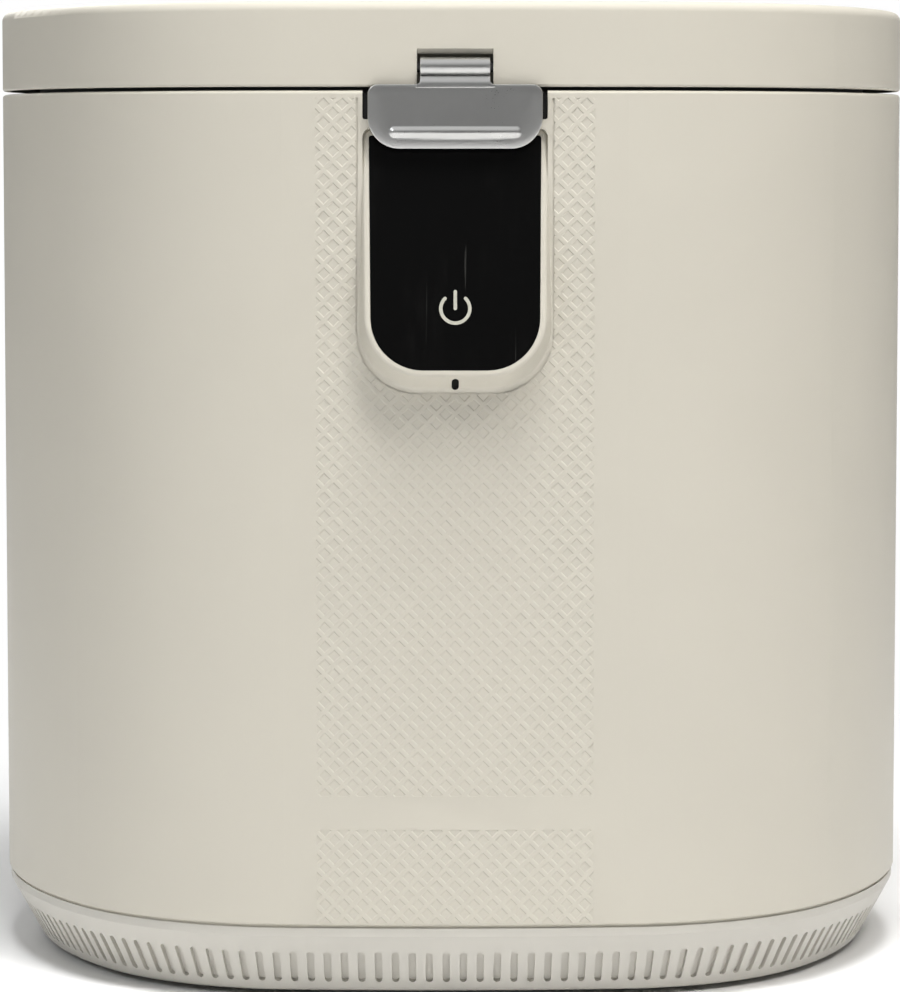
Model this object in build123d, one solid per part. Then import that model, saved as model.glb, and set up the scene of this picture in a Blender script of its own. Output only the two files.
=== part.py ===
from build123d import *
import math
import os

# Countertop electric food waste composter, in millimetres.
# X is left to right, -Y is the front, Z is up, and Z = 0 is the surface it stands on.

# ---- outside form -------------------------------------------------------------------
half_width = 170.0
half_depth = 150.0
total_height = 350.0
front_radius = 870.0          # the nearly flat front and back
front_flat_half = 60.0        # half the chord that the front radius covers
corner_radius = 102.0
foot_height = 2.0
skirt_top = 26.7
skirt_lip = 3.0
skirt_lip_inset = 0.7
skirt_foot_inset = 12.6
skirt_foot_round = 2.5
skirt_wall = 3.0
seam_height = 1.2             # shadow gap between skirt and body
seam_setback = 1.4
lid_rise = 30.7               # from the body's top to the lid's
body_top_round = 1.2
body_foot_round = 0.5
lid_gap = 1.3
lid_top_round = 3.3
lid_foot_round = 0.9
shell_wall = 3.0

# ---- skirt slots --------------------------------------------------------------------
slot_pitch = 6.0
slot_width = 2.5
slot_length = 13.6
slot_depth = 1.5
slot_rise = 11.6              # height of the slots' middle above the surface
slot_run_out = 2.0            # how far the cutter reaches past the skin

# ---- texture strip on the front -----------------------------------------------------
texture_half = 48.3
texture_low = 28.6
texture_drop = 2.5            # below the body's top
texture_depth = 0.45
plain_band_low = 61.7
plain_band_high = 73.5
texture_pod_foot = 4.6        # below the pod's rim
texture_pod_half_foot = 34.3
texture_pod_half_head = 33.4
texture_pod_corner = 22.0

# ---- control pod --------------------------------------------------------------------
pod_flush_drop = 30.3         # from the body's top to where the tilted face meets the skin
pod_tilt = 9.6                # degrees
panel_half_top = 29.9
panel_half_foot = 29.1
panel_corner = 18.2
panel_thick = 1.35
panel_sink = 0.25
panel_gap = 0.12
pod_rim = 2.0
pod_length = 84.7
pod_head_drop = 13.4          # below the body's top
pod_head_corner = 3.0
pod_edge_round = 1.3
pod_draft = 14.0              # degrees
pod_floor = 3.2
pod_side_wall = 2.6
pod_reach = 26.0
pocket_gap = 0.15
pod_inside_reach = 4.0        # how far the pod's walls stand inside the shell wall
symbol_rise = 23.2            # above the pod's foot
symbol_radius = 5.0
symbol_stroke = 1.18
symbol_gap_half = 45.0        # degrees
symbol_bar = 7.0
symbol_bar_foot = -0.5
symbol_thick = 0.3
window_width = 2.45
window_length = 8.2
window_depth = 3.0
window_edge = 2.75            # from the pod's lower front edge
control_board_thick = 1.6
control_board_margin = 3.0

# ---- latch --------------------------------------------------------------------------
latch_pivot_rise = 8.1        # above the body's top
latch_pivot_sink = 2.2        # pivot axis behind the front skin
barrel_radius = 3.35
barrel_half = 12.05
latch_pin_radius = 1.2
pin_clearance = 0.05
latch_pin_bite = 2.2
plate_half = 30.15
plate_top_drop = 6.0          # below the pivot
plate_height = 22.2
plate_top_corner = 3.5
plate_foot_corner = 11.0
plate_thick = 1.6
plate_stand_off = 2.0         # back of the plate in front of the front skin
rib_half = 23.0
rib_rise = 5.8                # above the plate's foot
rib_radius = 1.9
rib_proud = 0.9
hook_half = 8.0
hook_clearance = 0.5
hook_thick = 1.6
hook_bite = 1.1
recess_half = 13.2
recess_rise = 6.35            # above the pivot
recess_bevel = 1.8
recess_depth = 9.0
recess_wall = 3.0
notch_half = 32.0
notch_drop = 9.9              # below the body's top
notch_corner = 0.8
keeper_half = 36.0
keeper_foot_drop = 2.2        # below the notch
keeper_top_drop = 0.9         # below the body's top
keeper_depth = 7.5
keeper_lip_rise = 2.7         # above the notch's foot
keeper_lip_sink = 3.3         # lip's edge behind the front skin
keeper_wall = 2.5

# ---- bucket, well and deck ----------------------------------------------------------
bucket_y = -22.0
well_radius = 106.0           # inside
well_wall = 2.0
well_flange = 8.0
well_floor_top = 112.0
deck_drop = 16.3              # below the body's top
deck_thick = 3.0
deck_ledge = 7.0
fit_gap = 0.2
bucket_top_radius = 103.0
bucket_foot_radius = 99.0
bucket_wall = 2.2
bucket_floor = 2.6
bucket_drop = 5.4             # below the deck's top
bucket_rim = 1.6
bucket_seat_gap = 0.3
cup_radius = 22.0             # raised hub in the bucket's floor, outside
cup_height = 17.5
cup_wall = 2.5
bushing_radius = 11.0
bushing_flange = 14.0
bushing_rise = 3.0
agitator_shaft_radius = 8.0
running_gap = 0.06
hub_radius = 14.0
hub_low = 133.5
hub_high = 184.0
arm_thick = 6.0
arm_height = 15.0
arm_twist = 28.0              # degrees
low_arm_height = 141.5
low_arm_reach = 91.0
high_arm_height = 173.0
high_arm_reach = 74.0
blade_height = 157.0
blade_thick = 4.0
blade_depth = 9.0
blade_reach = 46.0
blade_count = 3
heater_inner = 22.0
heater_outer = 96.0
heater_thick = 4.0
grip_half = 17.0
grip_height = 16.0
grip_drop = 10.0

# ---- gearbox and drive --------------------------------------------------------------
pressure_angle = 25.0
addendum = 0.8                # in modules
dedendum = 1.05
backlash = 0.28
output_teeth, output_module = 50, 2.0
second_pinion_teeth = 12
second_wheel_teeth, second_module = 56, 1.25
first_pinion_teeth = 14
first_wheel_teeth, first_module = 60, 1.0
motor_pinion_teeth = 12
output_gear_thick = 12.0
second_wheel_thick = 8.0
first_wheel_thick = 6.0
level_gap = 1.5
stage_angles = (168.0, 190.0, 188.0)
gearbox_lift = 45.0           # posts between the bottom plate and the case
case_floor = 3.5
case_wall = 3.0
case_clearance = 3.0
cover_thick = 3.5
post_radius = 6.0
post_ring = 44.0
axle_radius = 3.0
axle_seat = 2.5
wheel_web = 0.45              # share of the wheel's radius taken by each lightening ring
output_shaft_radius = 6.0
bearing_outer = 11.0
bearing_height = 6.0
bearing_cup_wall = 3.0
seal_radius = 10.0
dog_radius = 16.0
dog_hub = 4.5
dog_jaw = 4.6
dog_jaw_half = 40.0           # degrees
dog_jaw_inner = 8.0
dog_gap = 0.35
motor_radius = 24.0
motor_length = 74.0
motor_cap = 9.0
motor_shaft_radius = 2.5
motor_boss_radius = 8.0
motor_boss = 2.0

# ---- base ---------------------------------------------------------------------------
base_flange = 8.0
base_flange_thick = 2.5
bottom_plate_thick = 3.0
foot_radius = 11.0
foot_x = 104.0
foot_y = 82.0
foot_seat = 1.0

# ---- filter, blower and duct --------------------------------------------------------
cassette_half = 42.0
cassette_low = 66.0
cassette_high = 150.0
cassette_front = 97.0
cassette_wall = 2.0
cassette_gap = 1.0
cassette_face_margin = 6.5
cassette_face_thick = 3.0
housing_wall = 2.5
housing_front = 94.0
vent_count = 9
vent_width = 4.0
grip_lip = 4.0
carbon_gap = 0.5
carbon_headroom = 9.0
blower_half = 46.0
blower_low = 160.0
blower_high = 248.0
blower_front = 97.0
blower_depth = 30.0
blower_wall = 2.0
fan_height = 206.0
fan_radius = 36.0
fan_inlet_radius = 15.0
fan_hub_radius = 9.0
fan_blade_count = 22
fan_blade_depth = 8.0
fan_blade_thick = 1.2
fan_width = 20.0
fan_shaft_radius = 2.0
fan_motor_radius = 16.0
fan_motor_length = 17.0
duct_half = 20.0
duct_low = 186.0
duct_drop = 17.0              # below the deck's top
duct_wall = 1.6
port_half = 12.0
port_drop = 8.0               # below the duct's top
port_height = 16.0
air_slot_low, air_slot_high = 12.0, 38.0
air_slot_depth = 16.0

# ---- electrics ----------------------------------------------------------------------
inlet_height = 43.4
inlet_half_width = 14.5
inlet_half_height = 10.5
inlet_wall = 2.0
inlet_depth = 18.0
inlet_flange = 4.4
inlet_flange_thick = 2.0
inlet_corner = 3.5
inlet_pin_length = 10.5
inlet_pin_pitch = 7.0
board_x = 134.0
board_half_length = 44.0
board_y = -8.0
board_low = 62.0
board_height = 88.0
board_thick = 1.6
board_stand_off = 3.0
board_plate_thick = 2.0
board_foot = 20.0

# ---- hinge --------------------------------------------------------------------------
hinge_behind = 5.0            # hinge axis behind the rear skin
hinge_rise = 0.7              # above the body's top
knuckle_radius = 4.5
hinge_half = 55.0
lid_knuckle_half = 35.0
knuckle_gap = 0.6
hinge_pin_radius = 2.2
hinge_leaf_thick = 3.0
leaf_gap = 0.05               # what is screwed to the curved skin stands off it by this
hinge_leaf_drop = 30.0        # below the hinge axis
hinge_leaf_rise = 23.0        # above the hinge axis

# ---- lid inside ---------------------------------------------------------------------
liner_inset = 14.0
liner_rise = 5.0              # above the deck's top
liner_thick = 2.6
seal_thick = 5.0
seal_ring_radius = 113.5
boss_radius = 4.0

# ---- fasteners ----------------------------------------------------------------------
screw_radius = 1.45
screw_hole = 1.5
screw_head_radius = 2.9
screw_head = 1.8

# ---- worked out from the above ------------------------------------------------------
seam_top = skirt_top + seam_height
body_top = total_height - lid_rise
texture_high = body_top - texture_drop
pod_flush_height = body_top - pod_flush_drop
pod_head_height = body_top - pod_head_drop
pod_foot_height = pod_head_height - pod_length
symbol_height = pod_foot_height + symbol_rise
latch_pivot_height = body_top + latch_pivot_rise
plate_top = latch_pivot_height - plate_top_drop
plate_foot = plate_top - plate_height
rib_height = plate_foot + rib_rise
recess_top = latch_pivot_height + recess_rise
notch_foot = body_top - notch_drop
keeper_foot = notch_foot - keeper_foot_drop
keeper_top = body_top - keeper_top_drop
keeper_lip_under = notch_foot + keeper_lip_rise
deck_top = body_top - deck_drop
liner_low = deck_top + liner_rise
bucket_top = deck_top - bucket_drop
duct_high = deck_top - duct_drop
port_high = duct_high - port_drop
port_low = port_high - port_height
hinge_height = body_top + hinge_rise
hinge_leaf_low = hinge_height - hinge_leaf_drop
hinge_leaf_lid_high = hinge_height + hinge_leaf_rise
lid_low = body_top + lid_gap
front = -half_depth
rear = half_depth
plate_top_z = foot_height + base_flange_thick + bottom_plate_thick
hinge_y = rear + hinge_behind
latch_pivot_y = front + latch_pivot_sink
case_low = plate_top_z + gearbox_lift
gear_low = case_low + case_floor + level_gap
second_low = gear_low + output_gear_thick + level_gap
first_low = second_low + second_wheel_thick + level_gap
case_high = first_low + first_wheel_thick + level_gap + 0.5
cover_high = case_high + cover_thick
bucket_low = well_floor_top + bucket_seat_gap
cup_top = bucket_low + cup_height
dog_low = well_floor_top + 1.0
driven_dog_low = dog_low + dog_hub + dog_jaw + dog_gap
board_face = board_x + board_thick


# ---- outlines -----------------------------------------------------------------------
def outline_arcs():
    # (centre x, centre y, radius, start angle, end angle) of the oval, anticlockwise.
    blend = math.asin(front_flat_half / front_radius)
    cx = (front_radius - corner_radius) * math.sin(blend)
    cy = front_radius - half_depth - (front_radius - corner_radius) * math.cos(blend)
    side = ((half_width - cx) ** 2 + cy**2 - corner_radius**2) / (
        2 * (half_width - cx - corner_radius)
    )
    sx = half_width - side
    turn = math.degrees(math.atan2(-cy, cx - sx))
    blend = math.degrees(blend)
    far = front_radius - half_depth
    return [
        (0, far, front_radius, 270 - blend, 270 + blend),
        (cx, cy, corner_radius, 270 + blend, 360 - turn),
        (sx, 0, side, -turn, turn),
        (cx, -cy, corner_radius, turn, 90 - blend),
        (0, -far, front_radius, 90 - blend, 90 + blend),
        (-cx, -cy, corner_radius, 90 + blend, 180 - turn),
        (-sx, 0, side, 180 - turn, 180 + turn),
        (-cx, cy, corner_radius, 180 + turn, 270 - blend),
    ]


def oval(inset, z=0.0):
    edges = [
        CenterArc((cx, cy, z), radius - inset, start, end - start)
        for cx, cy, radius, start, end in outline_arcs()
    ]
    return Face(Wire(edges))


def slab(inset, low, high):
    return extrude(oval(inset, low), high - low, dir=(0, 0, 1))


def taper(low_inset, low, high_inset, high):
    return loft([oval(low_inset, low), oval(high_inset, high)], ruled=True)


def stations(inset, pitch):
    # Evenly spaced points round the oval, alike in each quarter, with the way each one faces.
    arcs = outline_arcs()
    lengths = [math.radians(e - s) * (r - inset) for _, _, r, s, e in arcs]
    count = 4 * round(sum(lengths) / pitch / 4)
    places = []
    for index in range(count):
        along = ((index + 0.5) * sum(lengths) / count + lengths[0] / 2) % sum(lengths)
        for (cx, cy, radius, start, end), length in zip(arcs, lengths):
            if along <= length:
                angle = math.radians(start) + along / (radius - inset)
                x = cx + (radius - inset) * math.cos(angle)
                y = cy + (radius - inset) * math.sin(angle)
                places.append((x, y, angle))
                break
            along -= length
    return places


# ---- small helpers ------------------------------------------------------------------
def block(x0, x1, y0, y1, z0, z1):
    return Pos((x0 + x1) / 2, (y0 + y1) / 2, (z0 + z1) / 2) * Box(x1 - x0, y1 - y0, z1 - z0)


def rod(x, y, low, high, radius):
    return Pos(x, y, (low + high) / 2) * Cylinder(radius, high - low)


def tube(x, y, low, high, outer, inner):
    return rod(x, y, low, high, outer) - rod(x, y, low, high, inner)


def rod_x(x0, x1, y, z, radius):
    return Pos((x0 + x1) / 2, y, z) * Rot(0, 90, 0) * Cylinder(radius, x1 - x0)


def rod_y(y0, y1, x, z, radius):
    return Pos(x, (y0 + y1) / 2, z) * Rot(90, 0, 0) * Cylinder(radius, y1 - y0)


def polar(centre, distance, degrees):
    angle = math.radians(degrees)
    return centre[0] + distance * math.cos(angle), centre[1] + distance * math.sin(angle)


def screw_up(x, y, seat, length):
    # Head below the seat, shank upwards.
    return rod(x, y, seat - screw_head, seat, screw_head_radius) + rod(
        x, y, seat, seat + length, screw_radius
    )


def screw_down(x, y, seat, length):
    return rod(x, y, seat, seat + screw_head, screw_head_radius) + rod(
        x, y, seat - length, seat, screw_radius
    )


# ---- control pod --------------------------------------------------------------------
pod_plane = Plane(
    origin=(0, front, pod_flush_height),
    x_dir=(1, 0, 0),
    z_dir=(0, -math.cos(math.radians(pod_tilt)), math.sin(math.radians(pod_tilt))),
)


def up_pod(height):
    # Distance along the tilted face to a given height.
    return (height - pod_flush_height) / math.cos(math.radians(pod_tilt))


def shield(low, high, foot, head, foot_corner, head_corner):
    # Upright shape on the tilted face, rounder at its foot.
    sketch = Polygon((-foot, low), (foot, low), (head, high), (-head, high), align=None)
    corners = sketch.vertices().sort_by(Axis.Y)
    sketch = fillet(corners[:2], foot_corner)
    corners = [v for v in sketch.vertices() if abs(v.Y - high) < 0.01]
    return fillet(corners, head_corner)


def pod_outline(grow):
    # The rim's outline, grown outwards. The panel is the rim less its width.
    return shield(
        up_pod(pod_foot_height) - grow, up_pod(pod_head_height) + grow,
        panel_half_foot + pod_rim + grow, panel_half_top + pod_rim + grow,
        panel_corner + pod_rim + grow, max(pod_head_corner + grow, 0.5),
    )


def pod_prism(grow, deep, shallow):
    # Straight block over the pod's outline, measured out from the tilted face.
    return extrude(pod_plane * Pos(0, 0, deep) * pod_outline(grow), shallow - deep,
                   dir=pod_plane.z_dir)


def pod_taper(grow, depth_from, depth_to):
    spread = (depth_to - depth_from) * math.tan(math.radians(pod_draft))
    sections = [
        pod_plane * Pos(0, 0, -depth_from) * pod_outline(grow),
        pod_plane * Pos(0, 0, -depth_to) * pod_outline(grow + spread),
    ]
    return loft([s.face() for s in sections], ruled=True)


# ---- base ---------------------------------------------------------------------------
def base_skirt():
    lip_low = skirt_top - skirt_lip
    slope = taper(skirt_foot_inset, foot_height, skirt_lip_inset, lip_low)
    foot_edges = slope.edges().group_by(Axis.Z)[0]
    solid = fillet(foot_edges, skirt_foot_round) + slab(skirt_lip_inset, lip_low, skirt_top)
    hollow_low = foot_height + base_flange_thick
    solid -= taper(skirt_foot_inset + skirt_wall, hollow_low, skirt_lip_inset + skirt_wall, lip_low)
    solid -= slab(skirt_lip_inset + skirt_wall, lip_low, skirt_top)
    solid -= slab(skirt_foot_inset + skirt_wall + base_flange, foot_height, hollow_low)
    for x, y in flange_screw_places():
        solid -= rod(x, y, foot_height, hollow_low, screw_hole)
    fall = skirt_foot_inset - skirt_lip_inset
    height = lip_low - foot_height
    inset = skirt_lip_inset + fall * (lip_low - slot_rise) / height
    lean = math.degrees(math.atan2(fall, height))
    cutters = []
    quarter = solid & block(0, half_width, front, 0, 0, skirt_top)
    for x, y, angle in stations(inset, slot_pitch):
        if x < 0 or y > 0:
            continue
        nx, ny = math.cos(angle), math.sin(angle)
        down = math.sin(math.radians(lean))
        out = math.cos(math.radians(lean))
        skin = Plane(origin=(x, y, slot_rise), x_dir=(nx * down, ny * down, out),
                     z_dir=(nx * out, ny * out, -down))
        slot = skin * Pos(0, 0, -slot_depth) * SlotOverall(slot_length, slot_width)
        cutters.append(extrude(slot, slot_depth + slot_run_out))
    quarter -= cutters
    half = quarter + mirror(quarter, about=Plane.YZ)
    return half + mirror(half, about=Plane.XZ)


def foot_places():
    return [(x, y) for x in (-foot_x, foot_x) for y in (-foot_y, foot_y)]


def gear_post_places():
    bucket_axis = (0, bucket_y)
    return [
        polar(bucket_axis, post_ring, 50),
        polar(bucket_axis, post_ring, -50),
        polar(first_axle, 1.6 * post_radius, 90),
        polar(second_axle, 4 * post_radius, -90),
    ]


def flange_screw_places():
    inset = skirt_foot_inset + skirt_wall + base_flange / 2
    return [(x, y) for x, y, _ in stations(inset, 130.0)]


def bottom_plate():
    low = foot_height + base_flange_thick
    inset = skirt_foot_inset + skirt_wall + fit_gap
    plate = slab(inset, low, low + bottom_plate_thick)
    for x, y in foot_places():
        plate -= rod(x, y, low, low + foot_seat, foot_radius - 3)
    for x, y in gear_post_places() + flange_screw_places():
        plate -= rod(x, y, low, low + bottom_plate_thick, screw_hole)
    return plate


def rubber_feet():
    low = foot_height + base_flange_thick
    feet = []
    for x, y in foot_places():
        foot = rod(x, y, 0, low, foot_radius)
        foot = fillet(foot.edges().group_by(Axis.Z)[0], 1.2)
        feet.append(foot + rod(x, y, low, low + foot_seat, foot_radius - 3 - fit_gap))
    return feet


def base_screws():
    low = foot_height + base_flange_thick
    return [screw_up(x, y, low, 12.0) for x, y in gear_post_places()] + [
        screw_down(x, y, low + bottom_plate_thick, bottom_plate_thick + 1.5)
        for x, y in flange_screw_places()
    ]


# ---- body ---------------------------------------------------------------------------
def texture_recess():
    deep = texture_depth
    skin = slab(-2.0, texture_low, texture_high) - slab(deep, texture_low, texture_high)
    skin &= block(-texture_half, texture_half, front - 5, 0, texture_low, texture_high)
    skin -= block(-texture_half, texture_half, front - 5, 0, plain_band_low, plain_band_high)
    keep = shield(up_pod(pod_foot_height) - texture_pod_foot, up_pod(texture_high),
                  texture_pod_half_foot, texture_pod_half_head, texture_pod_corner, 0.5)
    return skin - extrude(pod_plane * Pos(0, 0, -pod_reach) * keep, 2 * pod_reach,
                          dir=pod_plane.z_dir)


def rear_openings():
    gap = cassette_gap
    cuts = block(-cassette_half - gap, cassette_half + gap, 0, rear + 5,
                 cassette_low - gap, cassette_high + gap)
    return cuts + block(-inlet_half_width, inlet_half_width, 0, rear + 5,
                        inlet_height - inlet_half_height, inlet_height + inlet_half_height)


def body_shell():
    skin = slab(0, seam_top, body_top)
    skin = fillet(skin.edges().group_by(Axis.Z)[-1], body_top_round)
    skin = fillet(skin.edges().group_by(Axis.Z)[0], body_foot_round)
    skin -= texture_recess()
    skin += slab(seam_setback, skirt_top, seam_top + 1)
    skin -= slab(shell_wall, skirt_top, body_top)
    # ledge that carries the deck
    ledge_top = deck_top - deck_thick
    ledge = slab(shell_wall / 2, ledge_top - 3, ledge_top)
    skin += ledge - slab(shell_wall + deck_ledge, ledge_top - 3, ledge_top)
    for x, y in deck_screw_places():
        skin -= rod(x, y, ledge_top - 3, ledge_top, screw_hole)
    # tilted pod, hollow behind
    skin -= pod_prism(pocket_gap, -pod_edge_round, pod_reach)
    boss = pod_taper(0, 0, pod_reach)
    rim_edges = [e for e in boss.edges() if abs(pod_plane.to_local_coords(e.center()).Z) < 0.01]
    boss = fillet(rim_edges, pod_edge_round)
    boss -= slab(shell_wall + pod_inside_reach, 0, total_height)
    skin += boss
    skin -= pod_taper(-pod_side_wall, pod_floor, pod_reach)
    skin -= pod_prism(-pod_rim, -panel_thick - panel_sink, pod_reach)
    skin -= window_solid(0)
    # notch for the latch, and the openings at the back
    notch = block(-notch_half, notch_half, front - 3, front + shell_wall + 3, notch_foot, body_top + 2)
    lower = notch.edges().filter_by(Axis.Y).group_by(Axis.Z)[0]
    skin -= fillet(lower, notch_corner)
    skin -= rear_openings()
    for x, z in hinge_screw_places():
        skin -= rod_y(rear - 6, rear + 1, x, z, screw_hole)
    return skin


def window_solid(clearance):
    # Upright slot in the pod's chin, running back from under its lower front edge.
    low = pod_plane.from_local_coords(Vector(0, up_pod(pod_foot_height), 0))
    plane = Plane(origin=(0, low.Y + window_edge + window_length / 2, low.Z + window_depth),
                  x_dir=(0, 1, 0), z_dir=(0, 0, -1))
    slot = plane * SlotOverall(window_length - 2 * clearance, window_width - 2 * clearance)
    return extrude(slot, 4 * window_depth, dir=(0, 0, -1))


def status_window():
    # Fills the slot and ends just short of the chin's face.
    chin = pod_taper(-fit_gap / 2, 0, pod_reach)
    return (window_solid(0.05) & chin) - pod_prism(0, -panel_thick - panel_sink - 0.4, pod_reach)


def touch_panel():
    panel = pod_prism(-pod_rim - panel_gap, -panel_thick - panel_sink + 0.02, -panel_sink)
    return panel - power_mark(panel_sink + symbol_thick, -panel_sink + 1)


def power_mark(deep, shallow):
    centre = up_pod(symbol_height)
    half = symbol_stroke / 2
    sweep_angle = 360 - 2 * symbol_gap_half
    arc = CenterArc((0, centre), symbol_radius, 90 + symbol_gap_half, sweep_angle)
    shape = SlotArc(arc, symbol_stroke)
    bar_middle = centre + symbol_bar_foot + symbol_bar / 2
    shape += Pos(0, bar_middle) * Rot(0, 0, 90) * SlotOverall(symbol_bar, 2 * half)
    return extrude(pod_plane * Pos(0, 0, -deep) * shape, deep + shallow, dir=pod_plane.z_dir)


def power_symbol():
    return power_mark(panel_sink + symbol_thick - 0.02, -panel_sink + 0.02)


def control_board():
    back = -pod_floor - control_board_thick
    board = pod_prism(-pod_side_wall - control_board_margin, back, -pod_floor)
    chip = extrude(pod_plane * Pos(0, up_pod(symbol_height), back - 1.5) * Rectangle(16, 12), 1.5,
                   dir=pod_plane.z_dir)
    plug = extrude(pod_plane * Pos(0, up_pod(symbol_height + 28), back - 5) * Rectangle(12, 6), 5,
                   dir=pod_plane.z_dir)
    return board + chip + plug


def latch_keeper():
    # Black housing behind the notch. The hook goes under its front lip.
    face = front + shell_wall + 0.15
    back = face + keeper_depth
    solid = block(-keeper_half, keeper_half, face, back, keeper_foot, keeper_top)
    solid &= slab(shell_wall + 0.15, keeper_foot, keeper_top)
    lip_edge = front + keeper_lip_sink
    return solid - block(-hook_half - 2, hook_half + 2, lip_edge - 5, back - keeper_wall,
                         notch_foot - 1, keeper_lip_under)


def top_deck():
    low = deck_top - deck_thick
    deck = slab(shell_wall + fit_gap, low, deck_top)
    deck -= rod(0, bucket_y, low, deck_top, well_radius + well_wall + fit_gap)
    reach = panel_half_top + pod_rim + 2 * pod_side_wall
    deck -= (deck - slab(shell_wall + pod_inside_reach + fit_gap, low, deck_top)) & block(
        -reach, reach, front, 0, low, deck_top)
    for x, y in deck_screw_places():
        deck -= rod(x, y, low, deck_top, screw_hole)
    return deck


def deck_screw_places():
    places = stations(shell_wall + deck_ledge / 2 + 1, 110.0)
    return [(x, y) for x, y, _ in places if abs(x) > 2 * notch_half]


def deck_screws():
    return [screw_down(x, y, deck_top, deck_thick + 2.5) for x, y in deck_screw_places()]


# ---- well, bucket and agitator ------------------------------------------------------
def bucket_well():
    outer = well_radius + well_wall
    floor_low = well_floor_top - well_wall
    well = rod(0, bucket_y, floor_low, deck_top + well_wall, outer)
    well = fillet(well.edges().group_by(Axis.Z)[0], 5.0)
    well += rod(0, bucket_y, deck_top, deck_top + well_wall, outer + well_flange)
    inner = rod(0, bucket_y, well_floor_top, total_height, well_radius)
    well -= fillet(inner.edges().group_by(Axis.Z)[0], 3.5)
    well -= rod(0, bucket_y, floor_low, well_floor_top, seal_radius)
    return well - block(-port_half, port_half, bucket_y, rear, port_low, port_high)


def bucket_radius(height):
    rise = (height - bucket_low) / (bucket_top - bucket_low)
    return bucket_foot_radius + (bucket_top_radius - bucket_foot_radius) * rise


def bucket():
    def pail(shrink, low):
        return Pos(0, bucket_y, (low + bucket_top) / 2) * Cone(
            bucket_radius(low) - shrink, bucket_top_radius - shrink, bucket_top - low)

    solid = fillet(pail(0, bucket_low).edges().group_by(Axis.Z)[0], 6.0)
    solid += rod(0, bucket_y, bucket_top - 3, bucket_top, bucket_top_radius + bucket_rim)
    inside = pail(bucket_wall, bucket_low + bucket_floor)
    solid -= fillet(inside.edges().group_by(Axis.Z)[0], 4.0)
    cup = rod(0, bucket_y, bucket_low, cup_top, cup_radius)
    solid += fillet(cup.edges().group_by(Axis.Z)[-1], 2.0)
    solid -= rod(0, bucket_y, bucket_low, cup_top - cup_wall, cup_radius - cup_wall)
    solid -= rod(0, bucket_y, bucket_low, cup_top, bushing_radius + 0.05)
    grip_top = bucket_top - grip_drop
    for side in (-1, 1):
        slot = Plane(origin=(side * bucket_top_radius, bucket_y, grip_top - grip_height / 2),
                     x_dir=(0, 1, 0), z_dir=(side, 0, 0))
        hole = slot * RectangleRounded(2 * grip_half, grip_height, grip_height / 2 - 0.1)
        solid -= extrude(hole, 10, both=True)
    return solid


def fixed_blades():
    blades = []
    for index in range(blade_count):
        turn = 30 + index * 360 / blade_count
        outer = bucket_radius(blade_height) - bucket_wall + 0.4
        low = blade_height - blade_depth / 2
        bar = block(outer - blade_reach, outer, -blade_thick / 2, blade_thick / 2,
                    low, low + blade_depth)
        bar = fillet(bar.edges().filter_by(Axis.Z).group_by(Axis.X)[0], blade_thick / 2 - 0.1)
        bar &= Cylinder(bucket_radius(low) - bucket_wall - 0.05, 2 * total_height)
        blades.append(Pos(0, bucket_y) * Rot(0, 0, turn) * bar)
    return blades


def bucket_bushing():
    low = cup_top - cup_wall
    bushing = rod(0, bucket_y, low, cup_top, bushing_radius)
    bushing += rod(0, bucket_y, cup_top, cup_top + bushing_rise, bushing_flange)
    return bushing - rod(0, bucket_y, low, cup_top + bushing_rise,
                         agitator_shaft_radius + running_gap)


def agitator_shaft():
    shaft = rod(0, bucket_y, driven_dog_low + 0.2, hub_high + 4, agitator_shaft_radius)
    return fillet(shaft.edges().group_by(Axis.Z)[-1], 3.0)


def paddle(reach, height, turn):
    bar = block(agitator_shaft_radius + 2, reach, -arm_thick / 2, arm_thick / 2,
                -arm_height / 2, arm_height / 2)
    bar = fillet(bar.edges().group_by(Axis.X)[-1], arm_thick / 2 - 0.2)
    bar = Rot(arm_twist, 0, 0) * bar
    return Pos(0, bucket_y, height) * Rot(0, 0, turn) * bar


def agitator_arms():
    hub = rod(0, bucket_y, hub_low, hub_high, hub_radius)
    hub = fillet(hub.edges().group_by(Axis.Z)[-1], 2.5)
    for turn in (0, 180):
        hub += paddle(low_arm_reach, low_arm_height, turn)
        hub += paddle(high_arm_reach, high_arm_height, turn + 90)
    return hub - rod(0, bucket_y, hub_low, hub_high, agitator_shaft_radius + 0.05)


def jaws(low, high, turn):
    ring_solid = tube(0, bucket_y, low, high, dog_radius, dog_jaw_inner)
    pair = []
    for start in (turn, turn + 180):
        far = 2 * dog_radius
        wedge = Polygon((0, 0), (far, -far * math.tan(math.radians(dog_jaw_half))),
                        (far, far * math.tan(math.radians(dog_jaw_half))), align=None)
        wedge = extrude(Pos(0, bucket_y, low) * Rot(0, 0, start) * wedge, high - low)
        pair.append(ring_solid & wedge)
    return pair


def drive_dog():
    top = dog_low + dog_hub
    dog = rod(0, bucket_y, dog_low, top, dog_radius)
    for jaw in jaws(top, top + dog_jaw, 0):
        dog += jaw
    return dog - rod(0, bucket_y, dog_low, top, output_shaft_radius + 0.05)


def driven_dog():
    low = driven_dog_low
    dog = rod(0, bucket_y, low, low + dog_hub, dog_radius)
    for jaw in jaws(low - dog_jaw, low, 90):
        dog += jaw
    return dog - rod(0, bucket_y, low, low + dog_hub, agitator_shaft_radius + 0.05)


def shaft_seal():
    return tube(0, bucket_y, well_floor_top - well_wall - 1.5, well_floor_top,
                seal_radius - 0.05, output_shaft_radius + running_gap)


def heater_plate():
    high = well_floor_top - well_wall
    plate = tube(0, bucket_y, high - heater_thick, high, heater_outer, heater_inner)
    plug = block(-8, 8, bucket_y + heater_outer - 22, bucket_y + heater_outer - 6,
                 high - heater_thick - 6, high - heater_thick)
    return plate + plug


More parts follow.
